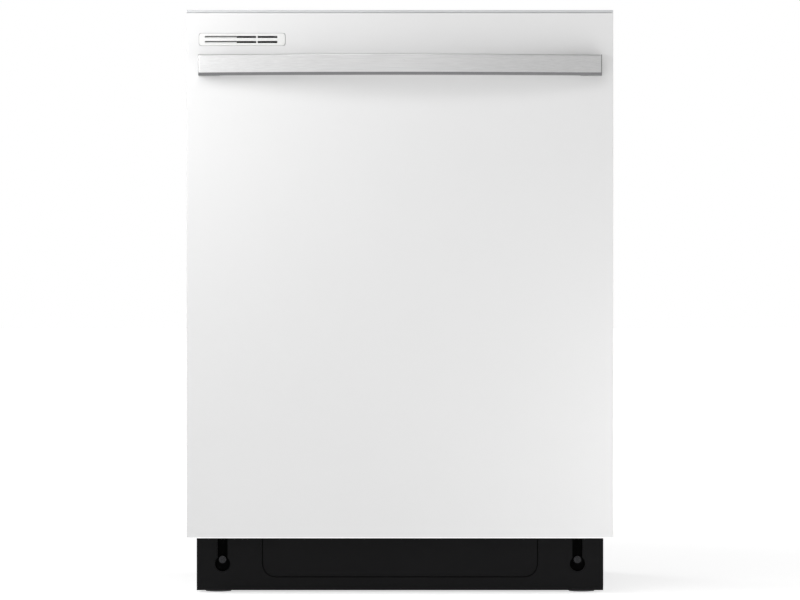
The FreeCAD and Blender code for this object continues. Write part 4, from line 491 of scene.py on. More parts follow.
def spoked_wheel(name, node, x0, x1, y, up, radius, spokes):
    """A moulded wheel pair: tread, hub and spokes, on both sides of the rack."""
    parts = bmesh.new()
    bore = 0.00405
    for side in (1, -1):
        for outer, inner in ((radius, radius * 0.80), (radius * 0.42, bore)):
            near, far = side * x0, side * x1
            add_turned(parts, [(outer, near), (outer, far), (inner, far), (inner, near)], (0, y, up), "X", 40)
        for k in range(spokes):
            angle = 2 * math.pi * k / spokes
            direction = Vector((0, math.cos(angle), math.sin(angle)))
            across = Vector((0, -direction.z, direction.y))
            mid = Vector((side * (x0 + x1) / 2, y, up))
            half = Vector((abs(x1 - x0) * 0.3, 0, 0))
            corners = [parts.verts.new(mid + direction * r + across * w + half * h)
                       for r in (radius * 0.40, radius * 0.82) for w in (-0.001, 0.001) for h in (-1, 1)]
            for quad in BOX_SIDES:
                parts.faces.new([corners[i] for i in quad])
    wheel = from_bmesh(name, parts)
    settle(wheel, "roller_plastic", node, node)


for number, y in enumerate(WHEEL_ROWS, start=1):
    name, node = f"lower_wheel_pair_{number}", f"lower_wheels_{number}"
    spoked_wheel(name, node, 0.2425, 0.2530, y, WHEEL_UP, 0.017, 6)
for end, y in zip(("front", "back"), ROLLER_ROWS):
    spoked_wheel(f"upper_roller_pair_{end}", f"upper_rollers_{end}", 0.2448, 0.2518, y, ROLLER_UP, 0.0115, 5)

# the folding tine row
FOLD_X, FOLD_UP, FOLD_TIP = -0.020, 0.16098, 0.2415
row_spots = spread(-0.110, TINES_BACK, 11)
tubes = Tubes()
tubes.add([(FOLD_X, -0.124, FOLD_UP), (FOLD_X, 0.238, FOLD_UP)], 0.0024, 12)
for y in row_spots:
    tubes.add([(FOLD_X, y, FOLD_UP), (FOLD_X, y, FOLD_TIP)], WIRE - 0.0002)
fold_wires = tubes.to_object("fold_tine_wires")
settle(fold_wires, "rack_nylon", "fold_tines", "fold_tines")
caps = tine_caps("fold_tine_caps", [(FOLD_X, y) for y in row_spots], FOLD_TIP - 0.0015)
settle(caps, "seal_rubber", "fold_tines")
clips = blocks("fold_tine_clips", [((FOLD_X - 0.006, y - 0.004, 0.1560), (FOLD_X - 0.0028, y + 0.004, 0.1670))
                                   for y in (-0.098, 0.062, 0.212)])
settle(clips, "roller_plastic", "lower_rack")

# the cup shelf
SHELF_X, SHELF_UP, SHELF_EDGE, SHELF_FRONT, SHELF_BACK = 0.225, 0.598, 0.225 - 0.090, -0.080, 0.200
tubes = Tubes()
loop = [(SHELF_X, SHELF_FRONT, SHELF_UP), (SHELF_EDGE, SHELF_FRONT, SHELF_UP),
        (SHELF_EDGE, SHELF_BACK, SHELF_UP), (SHELF_X, SHELF_BACK, SHELF_UP)]
tubes.add(rounded_path(loop, 0.012, closed=True), RIM, 12, closed=True)
for x in (SHELF_X - 0.030, SHELF_X - 0.060):
    tubes.add([(x, SHELF_FRONT, SHELF_UP), (x, SHELF_BACK, SHELF_UP)], WIRE)
for y in spread(SHELF_FRONT + 0.018, SHELF_BACK - 0.018, 9):
    tubes.add([(SHELF_X, y, SHELF_UP), (SHELF_EDGE, y, SHELF_UP)], WIRE)
shelf = tubes.to_object("cup_shelf_wires")
settle(shelf, "rack_nylon", "cup_shelf", "cup_shelf")


# ---------------- cutlery basket

BAR, BAR_DEPTH = 0.0018, 0.0022


def lattice_wall(work, corner, along, up, length, height, nx, nz):
    """Crossing bars between a corner and its opposite, each a bevelled strip."""
    corner, along, up = Vector(corner), Vector(along), Vector(up)
    normal = along.cross(up)
    for count, step, reach, run, rise in ((nx, along, length, up, height), (nz, up, height, along, length)):
        for n in range(count + 1):
            start = corner + step * (reach * n / count)
            ends = (start - step * BAR / 2 - normal * BAR_DEPTH / 2,
                    start + step * BAR / 2 + normal * BAR_DEPTH / 2 + run * rise)
            low = [min(a, b) for a, b in zip(*ends)]
            high = [max(a, b) for a, b in zip(*ends)]
            soft_box(work, low, high, 0.0003, 1)


BX0, BX1, BY0, BY1, BZ0, BZ1 = 0.131, 0.221, -0.139, 0.214, 0.1608, 0.272
INSET, LIP = 0.0012, 0.001
work = bmesh.new()
for x in (BX0 + INSET, (BX0 + BX1) / 2, BX1 - INSET):
    lattice_wall(work, (x, BY0, BZ0), (0, 1, 0), (0, 0, 1), BY1 - BY0, BZ1 - BZ0 - 0.002, 40, 10)
for y in spread(BY0 + INSET, BY1 - INSET, 6):
    lattice_wall(work, (BX0, y, BZ0), (1, 0, 0), (0, 0, 1), BX1 - BX0, BZ1 - BZ0 - 0.002, 10, 10)
for y in spread(BY0, BY1, 31):
    soft_box(work, (BX0, y - 0.0011, BZ0 - 0.0006), (BX1, y + 0.0011, BZ0 + 0.0016), 0)
for x in spread(BX0, BX1, 9):
    soft_box(work, (x - 0.0011, BY0, BZ0 - 0.0002), (x + 0.0011, BY1, BZ0 + 0.0012), 0)
for x0, x1, y0, y1 in (
        (BX0 - LIP, BX0 + 0.003, BY0 - LIP, BY1 + LIP), (BX1 - 0.003, BX1 + LIP, BY0 - LIP, BY1 + LIP),
        (BX0, BX1, BY0 - LIP, BY0 + 0.003), (BX0, BX1, BY1 - 0.003, BY1 + LIP)):
    soft_box(work, (x0, y0, BZ1 - 0.008), (x1, y1, BZ1), 0.001)
basket = from_bmesh("cutlery_lattice", work)
settle(basket, "basket_plastic", "silverware_basket", "silverware_basket")
BAIL_X, BAIL_FRONT, BAIL_BACK, BAIL_LOW, BAIL_TOP = (BX0 + BX1) / 2, -0.064, 0.146, 0.255, 0.3345
tubes = Tubes()
arch = [(BAIL_X, BAIL_FRONT, BAIL_LOW), (BAIL_X, BAIL_FRONT, BAIL_TOP), (BAIL_X, BAIL_BACK, BAIL_TOP),
        (BAIL_X, BAIL_BACK, BAIL_LOW)]
tubes.add(rounded_path(arch, 0.022, 8), lambda n, p: 0.0042 if p.z < 0.32 else 0.0055, 16)
bail = tubes.to_object("cutlery_bail")
settle(bail, "basket_plastic", "silverware_basket")


# ---------------- spray arms

def spray_arm(name, node, length, width, low, jets, sweep):
    """A blown-plastic arm: lofted sections that swell at the hub, with ridges, raised jets and a hub."""
    sections, sides, round_from = 49, 20, 0.94
    rise, thin = low + 0.0062, 0.22

    def bend(t):
        """How far the arm's middle line has moved sideways at t, which runs from -1 to 1."""
        return sweep * math.sin(math.pi * t)

    vertices, faces = [], []
    for n in range(sections):
        t = -1 + 2 * n / (sections - 1)
        x = t * (length / 2 - 0.0005)
        taper = (1 - abs(t) ** 3.0 * 0.42)
        past = max(0.0, abs(t) - round_from) / (1 - round_from)
        end = math.sqrt(max(0.0, 1 - past ** 2))
        half_width = max(0.0006, width / 2 * taper * max(end, 0.06))
        half_height = max(0.0006, 0.0056 * (1 - thin * abs(t)) * max(end, 0.12))
        for k in range(sides):
            angle = 2 * math.pi * k / sides
            c, s = math.cos(angle), math.sin(angle)
            vertices.append(Vector((x, HUB_Y + bend(t) + half_width * math.copysign(abs(c) ** 0.75, c),
                                    rise + half_height * math.copysign(abs(s) ** 0.55, s))))
    for n in range(sections - 1):
        faces += ring_faces(n * sides, (n + 1) * sides, sides)
    faces.append(tuple(range(sides - 1, -1, -1)))
    faces.append(tuple((sections - 1) * sides + k for k in range(sides)))
    settle(mesh_object(name, vertices, faces), "arm_plastic", node, node)
    ridges = Tubes()
    for side in (1, -1):
        path = [(t * length / 2, HUB_Y + bend(t), rise + 0.0049 * (1 - thin * abs(t)))
                for t in (side * t for t in spread(0.13, 0.88, 17))]
        ridges.add(path, 0.0012, 8)
    settle(ridges.to_object(name + "_ridges"), "arm_plastic", node)
    rims, holes = bmesh.new(), bmesh.new()
    for side in (1, -1):
        for n, t in enumerate(side * t for t in spread(0.17, 0.92, jets)):
            spot = (t * length / 2, HUB_Y + bend(t) + (0.007 if n % 2 else -0.007),
                    rise + 0.0053 * (1 - thin * abs(t)) - 0.0006)
            for work, outer, inner, height in ((rims, 0.0031, 0.0016, 0.0013), (holes, 0.00165, 0.0, 0.0008)):
                profile = [(outer, 0.0), (outer * 0.9, height), (inner, height), (inner, 0.0)]
                add_turned(work, profile, spot, "Z", 16)
    settle(from_bmesh(name + "_jets", rims), "arm_plastic", node)
    settle(from_bmesh(name + "_bores", holes), "chip_black", node)
    bore, collar, height = 0.0101, 0.0215, 0.0118
    profile = [(bore, 0.0), (collar, 0.0), (collar + 0.001, 0.003), (collar, height), (bore, height)]
    settle(lathe(name + "_hub", profile, (0, HUB_Y, low + 0.0001)), "arm_plastic", node)


spray_arm("lower_arm_blade", "lower_spray_arm", 0.460, 0.046, 0.1310, 7, 0.006)
spray_arm("upper_arm_blade", "upper_spray_arm", 0.440, 0.042, 0.4660, 7, 0.006)
spray_arm("top_arm_blade", "top_spray_arm", 0.253, 0.036, 0.7520, 5, 0.004)


# ---------------- door: inner panel, seal, springs

def smooth_step(value, low, high):
    """0 below low, 1 above high, and smooth between them."""
    t = max(0.0, min(1.0, (value - low) / (high - low)))
    return t * t * (3 - 2 * t)


def inner_panel():
    """The pressed stainless panel: a flat land for the seal, a sunk field and shallow pressed ribs."""
    half, low, high, rim = 0.299, 0.112, 0.808, -0.2615
    notch_x, notch_z = 0.283, 0.165                              # the lower corners, open for the hinges
    window_x, window_low, window_high = 0.095, 0.352, 0.498      # the dispenser's window
    press, ramp = 0.0055, 0.010
    rib_press, rib_half, rib_long, rib_rows = 0.0028, 0.013, 0.215, (0.210, 0.262, 0.590, 0.642, 0.694)
    xs = {round(-half + 0.004 * n, 4) for n in range(150)} | {half, -notch_x, notch_x, -window_x, window_x}
    zs = {round(low + 0.004 * n, 4) for n in range(175)} | {high, notch_z, window_low, window_high}
    xs, zs = sorted(xs), sorted(zs)

    def inside(x, z, half_wide, bottom, top):
        """1 within a rectangle about x = 0, falling to 0 at its border."""
        return min(smooth_step(half_wide - abs(x), 0.0, ramp), smooth_step(z - bottom, 0.0, ramp),
                   smooth_step(top - z, 0.0, ramp))

    def depth(x, z):
        """How far the panel is pressed in at x and z."""
        field = inside(x, z, 0.262, 0.126, 0.788)
        boss = inside(x, z, 0.122, 0.330, 0.520)
        across = smooth_step(rib_long - abs(x), 0.0, 0.014)
        rib = max(across * smooth_step(rib_half - abs(z - row), 0.0, 0.008) for row in rib_rows)
        return press * field * (1 - boss) - rib_press * rib * field

    grid, vertices, faces = {}, [], []
    for i, x in enumerate(xs):
        for j, z in enumerate(zs):
            grid[i, j] = len(vertices)
            vertices.append(Vector((x, LINER_FACE - depth(x, z), z)))
    for i in range(len(xs) - 1):
        for j in range(len(zs) - 1):
            x, z = (xs[i] + xs[i + 1]) / 2, (zs[j] + zs[j + 1]) / 2
            if abs(x) > notch_x and z < notch_z or abs(x) < window_x and window_low < z < window_high:
                continue
            faces.append((grid[i, j], grid[i, j + 1], grid[i + 1, j + 1], grid[i + 1, j]))
    panel = mesh_object("inner_panel", vertices, faces)
    work = bmesh.new()
    work.from_mesh(panel.data)
    bmesh.ops.delete(work, geom=[v for v in work.verts if not v.link_faces], context="VERTS")
    near = 0.001
    edges = [e for e in work.edges if len(e.link_faces) == 1
             and not all(abs(v.co.x) < window_x + near and window_low - near < v.co.z < window_high + near
                         for v in e.verts)]
    made = bmesh.ops.extrude_edge_only(work, edges=edges)["geom"]
    for v in (g for g in made if isinstance(g, bmesh.types.BMVert)):
        v.co.y = rim
    bmesh.ops.recalc_face_normals(work, faces=work.faces)
    work.to_mesh(panel.data)
    work.free()
    shade(panel.data)
    solid = panel.modifiers.new("gauge", "SOLIDIFY")
    solid.thickness = 0.0010
    solid.offset = -1.0
    apply_modifiers(panel)
    split = panel.modifiers.new("edges", "EDGE_SPLIT")
    split.split_angle = math.radians(40)
    return apply_modifiers(panel)


settle(inner_panel(), "stainless", "door", "door_liner")


SEAL_SECTION = [
    (0.0, 0.0005), (0.0032, 0.0), (0.0062, 0.0018), (0.0074, 0.0050), (0.0062, 0.0084), (0.0040, 0.0100),
    (0.0055, 0.0112), (0.0055, 0.0120), (-0.0055, 0.0120), (-0.0055, 0.0112), (-0.0030, 0.0100),
    (-0.0058, 0.0085), (-0.0056, 0.0060), (-0.0030, 0.0052), (-0.0052, 0.0034), (-0.0040, 0.0012)]


def seal():
    """The door seal: a soft bulb and a finned foot swept round the tub's mouth."""
    x, low, high, bend, tip = 0.2755, 0.1168, 0.7985, 0.018, -0.21862
    corners = rounded_path([(-x, 0, low), (x, 0, low), (x, 0, high), (-x, 0, high)], bend, 10, closed=True)
    count, sides = len(corners), len(SEAL_SECTION)
    vertices, faces = [], []
    for n, point in enumerate(corners):
        heading = (corners[(n + 1) % count] - corners[n - 1]).normalized()
        outward = Vector((heading.z, 0, -heading.x))
        squeeze = 0.42 if abs(point.z - low) < 0.002 else 1.0
        for across, deep in SEAL_SECTION:
            vertices.append(point + outward * across * squeeze + Vector((0, tip + deep, 0)))
    for n in range(count):
        a, b = n * sides, ((n + 1) % count) * sides
        for k in range(sides):
            j = (k + 1) % sides
            faces.append((a + k, b + k, b + j, a + j))
    return mesh_object("door_seal", vertices, faces)


settle(seal(), "seal_rubber", "cabinet", "door_gasket")


SPRING_UP = 0.138


def coil(side):
    """One counterbalance spring as one wire, with a short straight end at each side."""
    x, front, back, turns, radius, per_turn = side * 0.2891, -0.088, 0.112, 52, 0.0049, 12
    path = [Vector((x, front - 0.0045, SPRING_UP))]
    for t in spread(0.0, 1.0, turns * per_turn + 1):
        angle = 2 * math.pi * turns * t
        path.append(Vector((x + radius * math.cos(angle), front + (back - front) * t,
                            SPRING_UP + radius * math.sin(angle))))
    path.append(Vector((x, back + 0.0055, SPRING_UP)))
    return path


tubes = Tubes()
for side in (1, -1):
    tubes.add(coil(side), 0.0011, 8)
springs = tubes.to_object("counterbalance_springs")
settle(springs, "spring_steel")
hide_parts("door_springs")
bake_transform(springs)


# ---------------- hoses and felt

def run_lengths(path):
    """How far along the path each of its points lies."""
    travelled = [0.0]
    for a, b in zip(path, path[1:]):
        travelled.append(travelled[-1] + (b - a).length)
    return travelled


def hose(name, node, route, bend, radius, ribs):
    """A moulded hose along the same runs as its solid, ribbed but for its two ends where ribs is true."""
    corners = rounded_path(route, bend, 10)
    path, pitch = [], 0.0055
    for a, b in zip(corners, corners[1:]):
        steps = max(1, int((b - a).length / (0.0011 if ribs else 0.006)))
        path += [a.lerp(b, n / steps) for n in range(steps)]
    path.append(corners[-1])
    travelled = run_lengths(path)

    def size(n, _):
        """The hose's radius at point n."""
        along = travelled[n]
        if not ribs or along < 0.035 or along > travelled[-1] - 0.030:
            return radius * 0.98
        return radius * (0.90 + 0.09 * math.cos(2 * math.pi * along / pitch))

    made = Tubes().add(path, size, 16).to_object(name)
    settle(made, "hose_rubber", "cabinet", node)


RISE_X, FALL_Y, LOOP_Y, LOOP_TOP, PUMP_X, FILL_X, BASE_Z = 0.285, 0.205, 0.262, 0.690, 0.154, -0.200, 0.058
hose("drain_hose_ribbed", "drain_hose", [
    (PUMP_X, 0.0095, BASE_Z), (PUMP_X, 0.110, BASE_Z), (0.235, 0.160, BASE_Z), (RISE_X, FALL_Y, 0.090),
    (RISE_X, FALL_Y, LOOP_TOP), (RISE_X, LOOP_Y, LOOP_TOP), (RISE_X, LOOP_Y, 0.092), (0.235, 0.285, 0.060),
    (0.235, 0.3145, 0.060)], 0.028, 0.0095, True)
hose("fill_hose_plain", "fill_hose", [
    (FILL_X, -0.0995, 0.062), (FILL_X, 0.120, 0.062), (-0.250, 0.180, 0.062), (-0.282, 0.215, 0.082),
    (-0.282, 0.215, 0.330), (-0.2665, 0.215, 0.330)], 0.014, 0.0070, False)
fittings = bmesh.new()
CLIPS = [((RISE_X, y, z), "Z", 0.0104, 0.0080, 0.010) for z in (0.300, 0.560) for y in (FALL_Y, LOOP_Y)]
for centre, axis, outer, inner, length in [
        ((PUMP_X, 0.0100, BASE_Z), "Y", 0.0108, 0.0090, 0.010),
        ((0.235, 0.296, 0.060), "Y", 0.0112, 0.0090, 0.012),
        ((FILL_X, -0.0980, 0.062), "Y", 0.0084, 0.0066, 0.009)] + CLIPS:
    add_turned(fittings, [(inner, 0), (outer, 0), (outer, length), (inner, length)], centre, axis, 32)
settle(from_bmesh("hose_clamps", fittings), "zinc", "cabinet")


def felt_sheet(name, rows, columns, point, outward):
    """A sheet of felt with two faces; point and outward give its inner face and normal, s and t in 0 to 1."""
    thick, clear, flat_border, width = 0.0030, 0.0001, 0.02, columns + 1
    vertices, faces = [], []
    for layer in (0, 1):
        for i in range(rows + 1):
            for j in range(columns + 1):
                s, t = i / rows, j / columns
                p = point(s, t)
                swell = math.sin(p.x * 41.0 + p.z * 23.0) * math.sin(p.y * 37.0 + p.z * 31.0)
                pinch = 0.55 + 0.45 * smooth_step(min(s, 1 - s, t, 1 - t), 0.0, flat_border)
                height = clear + layer * (thick - 2 * clear) * pinch * (0.92 + 0.08 * swell)
                vertices.append(p + outward(s) * height)
    layer_size = (rows + 1) * width
    for i in range(rows):
        for j in range(columns):
            a = i * width + j
            b = a + layer_size
            faces.append((a, a + width, a + width + 1, a + 1))
            faces.append((b, b + 1, b + width + 1, b + width))
    border = ([(i, 0) for i in range(rows)] + [(rows, j) for j in range(columns)]
              + [(i, columns) for i in range(rows, 0, -1)] + [(0, j) for j in range(columns, 0, -1)])
    for (i, j), (i2, j2) in zip(border, border[1:] + border[:1]):
        a, b = i * width + j, i2 * width + j2
        faces.append((a, b, b + layer_size, a + layer_size))
    return mesh_object(name, vertices, faces)


def felt_pieces():
    """The sound felt: a strip over the roof and sides, and a sheet on the back, with their flat sizes."""
    side, roof, back, low, front, overlap = 0.2716, 0.7916, 0.3016, 0.128, -0.150, 0.0026
    half, crown = side + overlap, roof + overlap
    path = rounded_path([(-side, 0, low), (-side, 0, roof), (side, 0, roof), (side, 0, low)], 0.004, 6)
    travelled = run_lengths(path)
    total = travelled[-1]

    def along(s):
        """The strip's line at s, and its heading there."""
        want, last = s * total, len(path) - 2
        n = next(k for k in range(last + 1) if want <= travelled[k + 1] or k == last)
        share = (want - travelled[n]) / (travelled[n + 1] - travelled[n])
        return path[n].lerp(path[n + 1], share), (path[n + 1] - path[n]).normalized()

    def wrap_point(s, t):
        """A point of the strip."""
        spot, _ = along(s)
        return Vector((spot.x, front + (back - front) * t, spot.z))

    def wrap_out(s):
        """The strip's outward normal."""
        _, heading = along(s)
        return Vector((-heading.z, 0, heading.x))

    def back_point(s, t):
        """A point of the sheet on the back."""
        return Vector((-half + 2 * half * s, back, low + (crown - low) * t))

    wrap = felt_sheet("felt_wrap", 200, 60, wrap_point, wrap_out)
    rear = felt_sheet("felt_back", 70, 80, back_point, lambda s: Vector((0, 1, 0)))
    return wrap, rear, (round(back - front, 3), round(total, 3)), (round(2 * half, 3), round(crown - low, 3))


wrap, back_piece, wrap_flat, back_flat = felt_pieces()
settle(wrap, "felt", "cabinet", "sound_blanket")
settle(back_piece, "felt", "cabinet")

# two strips of tape hold the felt on the back
tape = blocks("felt_tape", [((-0.2400, 0.3046, z), (0.2400, 0.3050, z + 0.022)) for z in (0.742, 0.180)], 0)
settle(tape, "motor_metal", "cabinet")


# ---------------- the bar handle

def bar_handle():
    """The bowed bar as one fine sweep: flat front, rounded top edge, bevelled lower edge and soft ends."""
    low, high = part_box("handle")[0][2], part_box("handle")[1][2]
    half, middle, end, wall, hollow = 0.286, 0.042, 0.020, 0.007, 0.256
    soft, top, bevel, steps = 0.0012, 0.0024, 0.004, 144
    hold = 0.0003                 # a line this far from a rounded edge keeps the flat face's shading flat

    def arc(x, chord, deep, shallow):
        """The depth line of a bow that is deep at x = 0 and shallow at the chord's ends."""
        rise = deep - shallow
        radius = (chord * chord + rise * rise) / (2 * rise)
        return DOOR_FACE - deep + radius - math.sqrt(radius * radius - x * x)

    def section(x, inset, solid):
        """The bar's outline at x, reaching back to the door's face where it is solid."""
        front = arc(x, half, middle, end) + inset
        rear = DOOR_FACE if solid else arc(x, hollow, middle - wall, end - wall + 0.003)
        ring = [(rear, low), (front + bevel, low), (front, low + bevel)]
        ring += [(front, high - top - hold), (front, high - top)]
        for angle in (math.pi / 12 * k for k in range(1, 7)):
            ring.append((front + top * (1 - math.cos(angle)), high - top + top * math.sin(angle)))
        return [Vector((x, y, z)) for y, z in ring + [(front + top + hold, high), (rear, high)]]

    flat = half - soft
    stations = [(flat + soft * math.sin(angle), soft * (1 - math.cos(angle)), True)
                for angle in (math.pi / 8 * k for k in (4, 3, 2, 1))]
    ends = list(reversed(stations))
    inner = {round(flat * (1 - 2 * n / steps), 6) for n in range(steps + 1)}
    for x in sorted(inner | {hollow, -hollow, flat - hold, hold - flat}, reverse=True):
        if abs(x) == hollow:
            stations += [(x, 0.0, x > 0), (x, 0.0, x < 0)]
        else:
            stations.append((x, 0.0, abs(x) > hollow))
    stations += [(-x, inset, True) for x, inset, _ in ends]
    work = bmesh.new()
    rings = [[work.verts.new(p) for p in section(*station)] for station in stations]
    for one, two in zip(rings, rings[1:]):
        for k in range(len(one)):
            j = (k + 1) % len(one)
            work.faces.new((one[k], two[k], two[j], one[j]))
    work.faces.new(rings[0])
    work.faces.new(reversed(rings[-1]))
    bmesh.ops.remove_doubles(work, verts=work.verts, dist=1e-6)
    bar = from_bmesh("bar_handle", work, True)
    bar.data.set_sharp_from_angle(angle=math.radians(32))
    settle(bar, "handle_steel", "door", "handle")


bar_handle()


# ---------------- front details: toe-kick, vent

KICK_FACE, GROOVE_X, GROOVE_LOW, GROOVE_TOP = -0.2000, 0.1975, 0.0220, 0.0900
# painted shade: a thin black line laid along the toe-kick's groove
tubes = Tubes()
corners = [(x, KICK_FACE, z) for x, z in ((-GROOVE_X, GROOVE_TOP), (-GROOVE_X, GROOVE_LOW),
                                          (GROOVE_X, GROOVE_LOW), (GROOVE_X, GROOVE_TOP))]
tubes.add(rounded_path(corners, 0.022, 12), 0.0006, 6)
settle(tubes.to_object("toe_kick_groove_shade"), "deep_black", "cabinet")

# a black pad of painted shade lies in each keyhole recess of the toe-kick, behind its screw
RECESS_X, RECESS_HALF, RECESS_TOP, RECESS_FLOOR = 0.255, 0.0071, 0.0925, KICK_FACE + 0.0032
DISH_Z, DISH_RADIUS = 0.041, 0.0109
turn = math.acos(RECESS_HALF / DISH_RADIUS)
angles = [turn - (math.pi + 2 * turn) * n / 32 for n in range(33)]
dish = [(DISH_RADIUS * math.cos(a), DISH_Z + DISH_RADIUS * math.sin(a)) for a in angles]
outline = [(RECESS_HALF, RECESS_TOP), *dish, (-RECESS_HALF, RECESS_TOP)]
work = bmesh.new()
for side in (-1, 1):
    front, rear = [[work.verts.new((side * RECESS_X + x, RECESS_FLOOR + back, z)) for x, z in outline]
                   for back in (-0.0003, 0.0001)]
    work.faces.new(front)
    work.faces.new(rear[::-1])
    for n in range(len(outline)):
        after = (n + 1) % len(outline)
        work.faces.new((front[after], front[n], rear[n], rear[after]))
settle(from_bmesh("toe_kick_recess_shade_pads", work), "deep_black", "cabinet")

# a painted shadow line round the vent's bezel, and a black strip of painted shadow over each blind slot
VENT_X, VENT_Z, VENT_HALF, VENT_TALL = -0.2243, 0.7901, 0.0612, 0.0087
tubes = Tubes()
corners = [(VENT_X + i * VENT_HALF, DOOR_FACE - 0.0001, VENT_Z + j * VENT_TALL)
           for i, j in ((-1, -1), (1, -1), (1, 1), (-1, 1))]
tubes.add(rounded_path(corners, 0.0032, 6, closed=True), 0.00042, 6, closed=True)
settle(tubes.to_object("vent_gap_shadow"), "gap_grey", "door")
SLOT_LEFT, SLOT_RIGHT, SLOT_FRONT, SLOT_BACK = -0.2768, -0.2323, -0.27492, -0.2742
# painted shadow: a thin black strip along the top of each blind slot
slot_shadow_strips = blocks("vent_slot_shadow_strips", [
    ((SLOT_LEFT, SLOT_FRONT, VENT_Z + z + 0.0004), (SLOT_RIGHT, SLOT_BACK, VENT_Z + z + 0.0015))
    for z in (-0.0036, 0.0036)], 0)
settle(slot_shadow_strips, "deep_black", "door")


# ---------------- touch pads on the door's top edge

marks = bmesh.new()
PAD_Y, PAD_Z, INK = -0.249, 0.83204, 0.00003


def ring_mark(x, outer, inner):
    """A printed ring."""
    add_turned(marks, [(outer, 0), (outer, INK), (inner, INK), (inner, 0)], (x, PAD_Y, PAD_Z), "Z", 32)


def bar_mark(x, y, wide, deep):
    """A printed bar, wide and deep to each side of x and y."""
    soft_box(marks, (x - wide, PAD_Y + y - deep, PAD_Z), (x + wide, PAD_Y + y + deep, PAD_Z + INK), 0)


for n, x in enumerate(spread(-0.205, 0.205, 9)):
    if n == 4:
        continue
    ring_mark(x, 0.0046, 0.0041)
    if n % 3 == 0:
        ring_mark(x, 0.0018, 0.0001)
    elif n % 3 == 1:
        bar_mark(x, 0, 0.0018, 0.0003)
        bar_mark(x, 0, 0.0003, 0.0018)
    else:
        for k in range(3):
            bar_mark(x, -0.00135 + 0.0013 * k, 0.0018, 0.00025)
# the clock between the pads: four figures that show every bar
for x in spread(-0.0105, 0.0105, 4):
    for y in (0.0042, 0, -0.0042):
        bar_mark(x, y, 0.0016, 0.0004)
    for y in (0.0021, -0.0021):
        for side in (-1, 1):
            bar_mark(x + side * 0.0019, y, 0.0003, 0.0016)
icons = from_bmesh("touch_marks", marks)
icons.data.transform(Matrix.Translation((0, 0, -0.00007)))
settle(icons, "icon_white", "door")


# ---------------- stage, lights, camera

def stage_floor():
    """A wide pale floor with no backdrop; its glow grows outwards, where the lights no longer reach it."""
    half, near, far = 60.0, 1.0, 3.5
    corners = [(-half, -half, 0), (half, -half, 0), (half, half, 0), (-half, half, 0)]
    made = mesh_object("stage_floor", corners, [(0, 1, 2, 3)])
    material, nodes, links, shader = new_material("stage_white")
    for socket, value in (("Base Color", (0.80, 0.80, 0.80, 1)), ("Roughness", 0.9),
                          ("Specular IOR Level", 0.1), ("Emission Color", (1, 1, 1, 1))):
        shader.inputs[socket].default_value = value
    place = nodes.new("ShaderNodeTexCoord")
    reach = add_node(nodes, "VectorMath", operation="LENGTH")
    glow = add_node(nodes, "MapRange", {"From Min": near, "From Max": far,
                                        "To Min": FLOOR_GLOW, "To Max": FAR_GLOW})
    links.new(place.outputs["Object"], reach.inputs[0])
    links.new(reach.outputs["Value"], glow.inputs["Value"])
    links.new(glow.outputs["Result"], shader.inputs["Emission Strength"])
    made.data.materials.append(material)


FLOOR_GLOW, FAR_GLOW = 0.64, 0.84
SKY, SKY_IN_GLOSS, SKY_SEEN = 0.28, 0.42, 1.0
stage_floor()


def area_light(name, location, target, size, radiance, fill=False):
    """A soft panel of the given radiance that the camera never sees; a fill casts no shadow and no gloss."""
    data = bpy.data.lights.new(name, "AREA")
    data.shape = "RECTANGLE"
    data.size, data.size_y = size
    data.energy = radiance * math.pi * size[0] * size[1]
    data.use_shadow = not fill
    made = new_object(name, data)
    made.location = location
    made.rotation_euler = (Vector(target) - Vector(location)).to_track_quat("-Z", "Y").to_matrix().to_euler()
    made.visible_camera = False
    made.visible_glossy = not fill


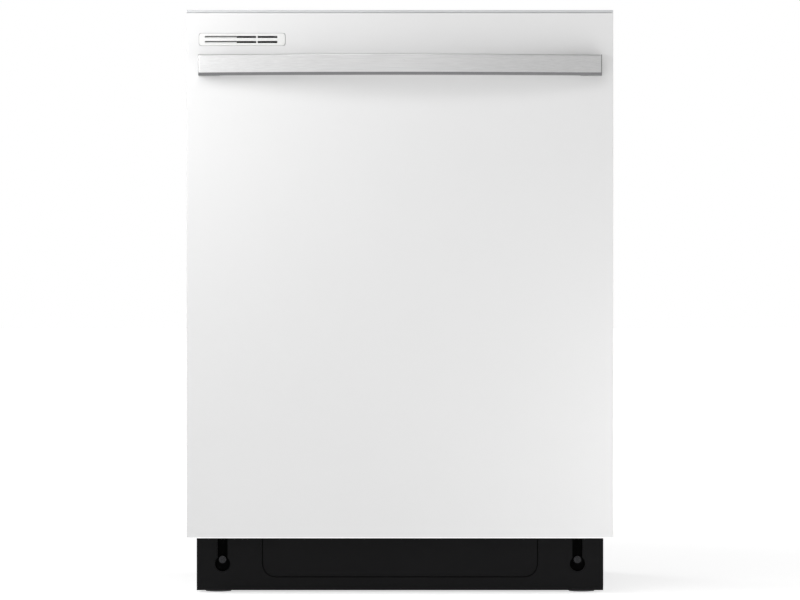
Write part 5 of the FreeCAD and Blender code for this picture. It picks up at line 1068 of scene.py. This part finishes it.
area_light("top_front", (-0.4, -2.7, 2.9), (0, -0.28, 0.55), (1.5, 0.9), 3.2)
area_light("near_left", (-0.74, -0.68, 0.93), (-0.20, -0.27, 0.62), (0.30, 0.30), 10.5)
area_light("near_right", (0.68, -0.62, 0.20), (0.20, -0.27, 0.20), (0.30, 0.30), 3.4, True)
area_light("front_fill", (0.0, -4.0, 1.1), (0, -0.28, 0.5), (2.0, 2.0), 0.60, True)
area_light("card_left", (-2.1, -6.4, 1.3), (0, -0.3, 0.6), (1.8, 1.8), 0.72)
area_light("card_middle", (0.0, -7.4, 1.7), (0, -0.3, 0.6), (1.6, 1.2), 0.78)
area_light("rear_left", (-2.6, 3.6, 2.2), (0, 0, 0.4), (1.6, 1.6), 4.0)
area_light("rear_right", (3.0, 2.8, 1.8), (0, 0, 0.4), (1.4, 1.4), 2.4)

# the sky is brighter in reflections, and white where the camera sees it
world = bpy.data.worlds.new("studio")
world.use_nodes = True
nodes, links = world.node_tree.nodes, world.node_tree.links
background = nodes["Background"]
background.inputs["Color"].default_value = (1, 1, 1, 1)
ray = nodes.new("ShaderNodeLightPath")
in_gloss = add_node(nodes, "MapRange", {"To Min": SKY, "To Max": SKY_IN_GLOSS})
level = add_node(nodes, "MapRange", {"To Max": SKY_SEEN})
links.new(ray.outputs["Is Glossy Ray"], in_gloss.inputs["Value"])
links.new(in_gloss.outputs["Result"], level.inputs["To Min"])
links.new(ray.outputs["Is Camera Ray"], level.inputs["Value"])
links.new(level.outputs["Result"], background.inputs["Strength"])
bpy.context.scene.world = world
bpy.context.scene.view_settings.view_transform = "Standard"

# the photo is 800 pixels wide, at 1.4206 mm to a pixel on the door's face
CAMERA_UP, DOOR_DISTANCE, SENSOR, VIEW_WIDE = 0.420, 6.5, 36.0, 800 * 1.4206 / 1000
camera_data = bpy.data.cameras.new("camera")
camera_data.sensor_width = SENSOR
camera_data.lens = SENSOR * DOOR_DISTANCE / VIEW_WIDE
camera = new_object("camera", camera_data)
camera.location = (0.0, DOOR_FACE - DOOR_DISTANCE, CAMERA_UP)
camera.rotation_euler = (math.pi / 2, 0, 0)
bpy.context.scene.camera = camera
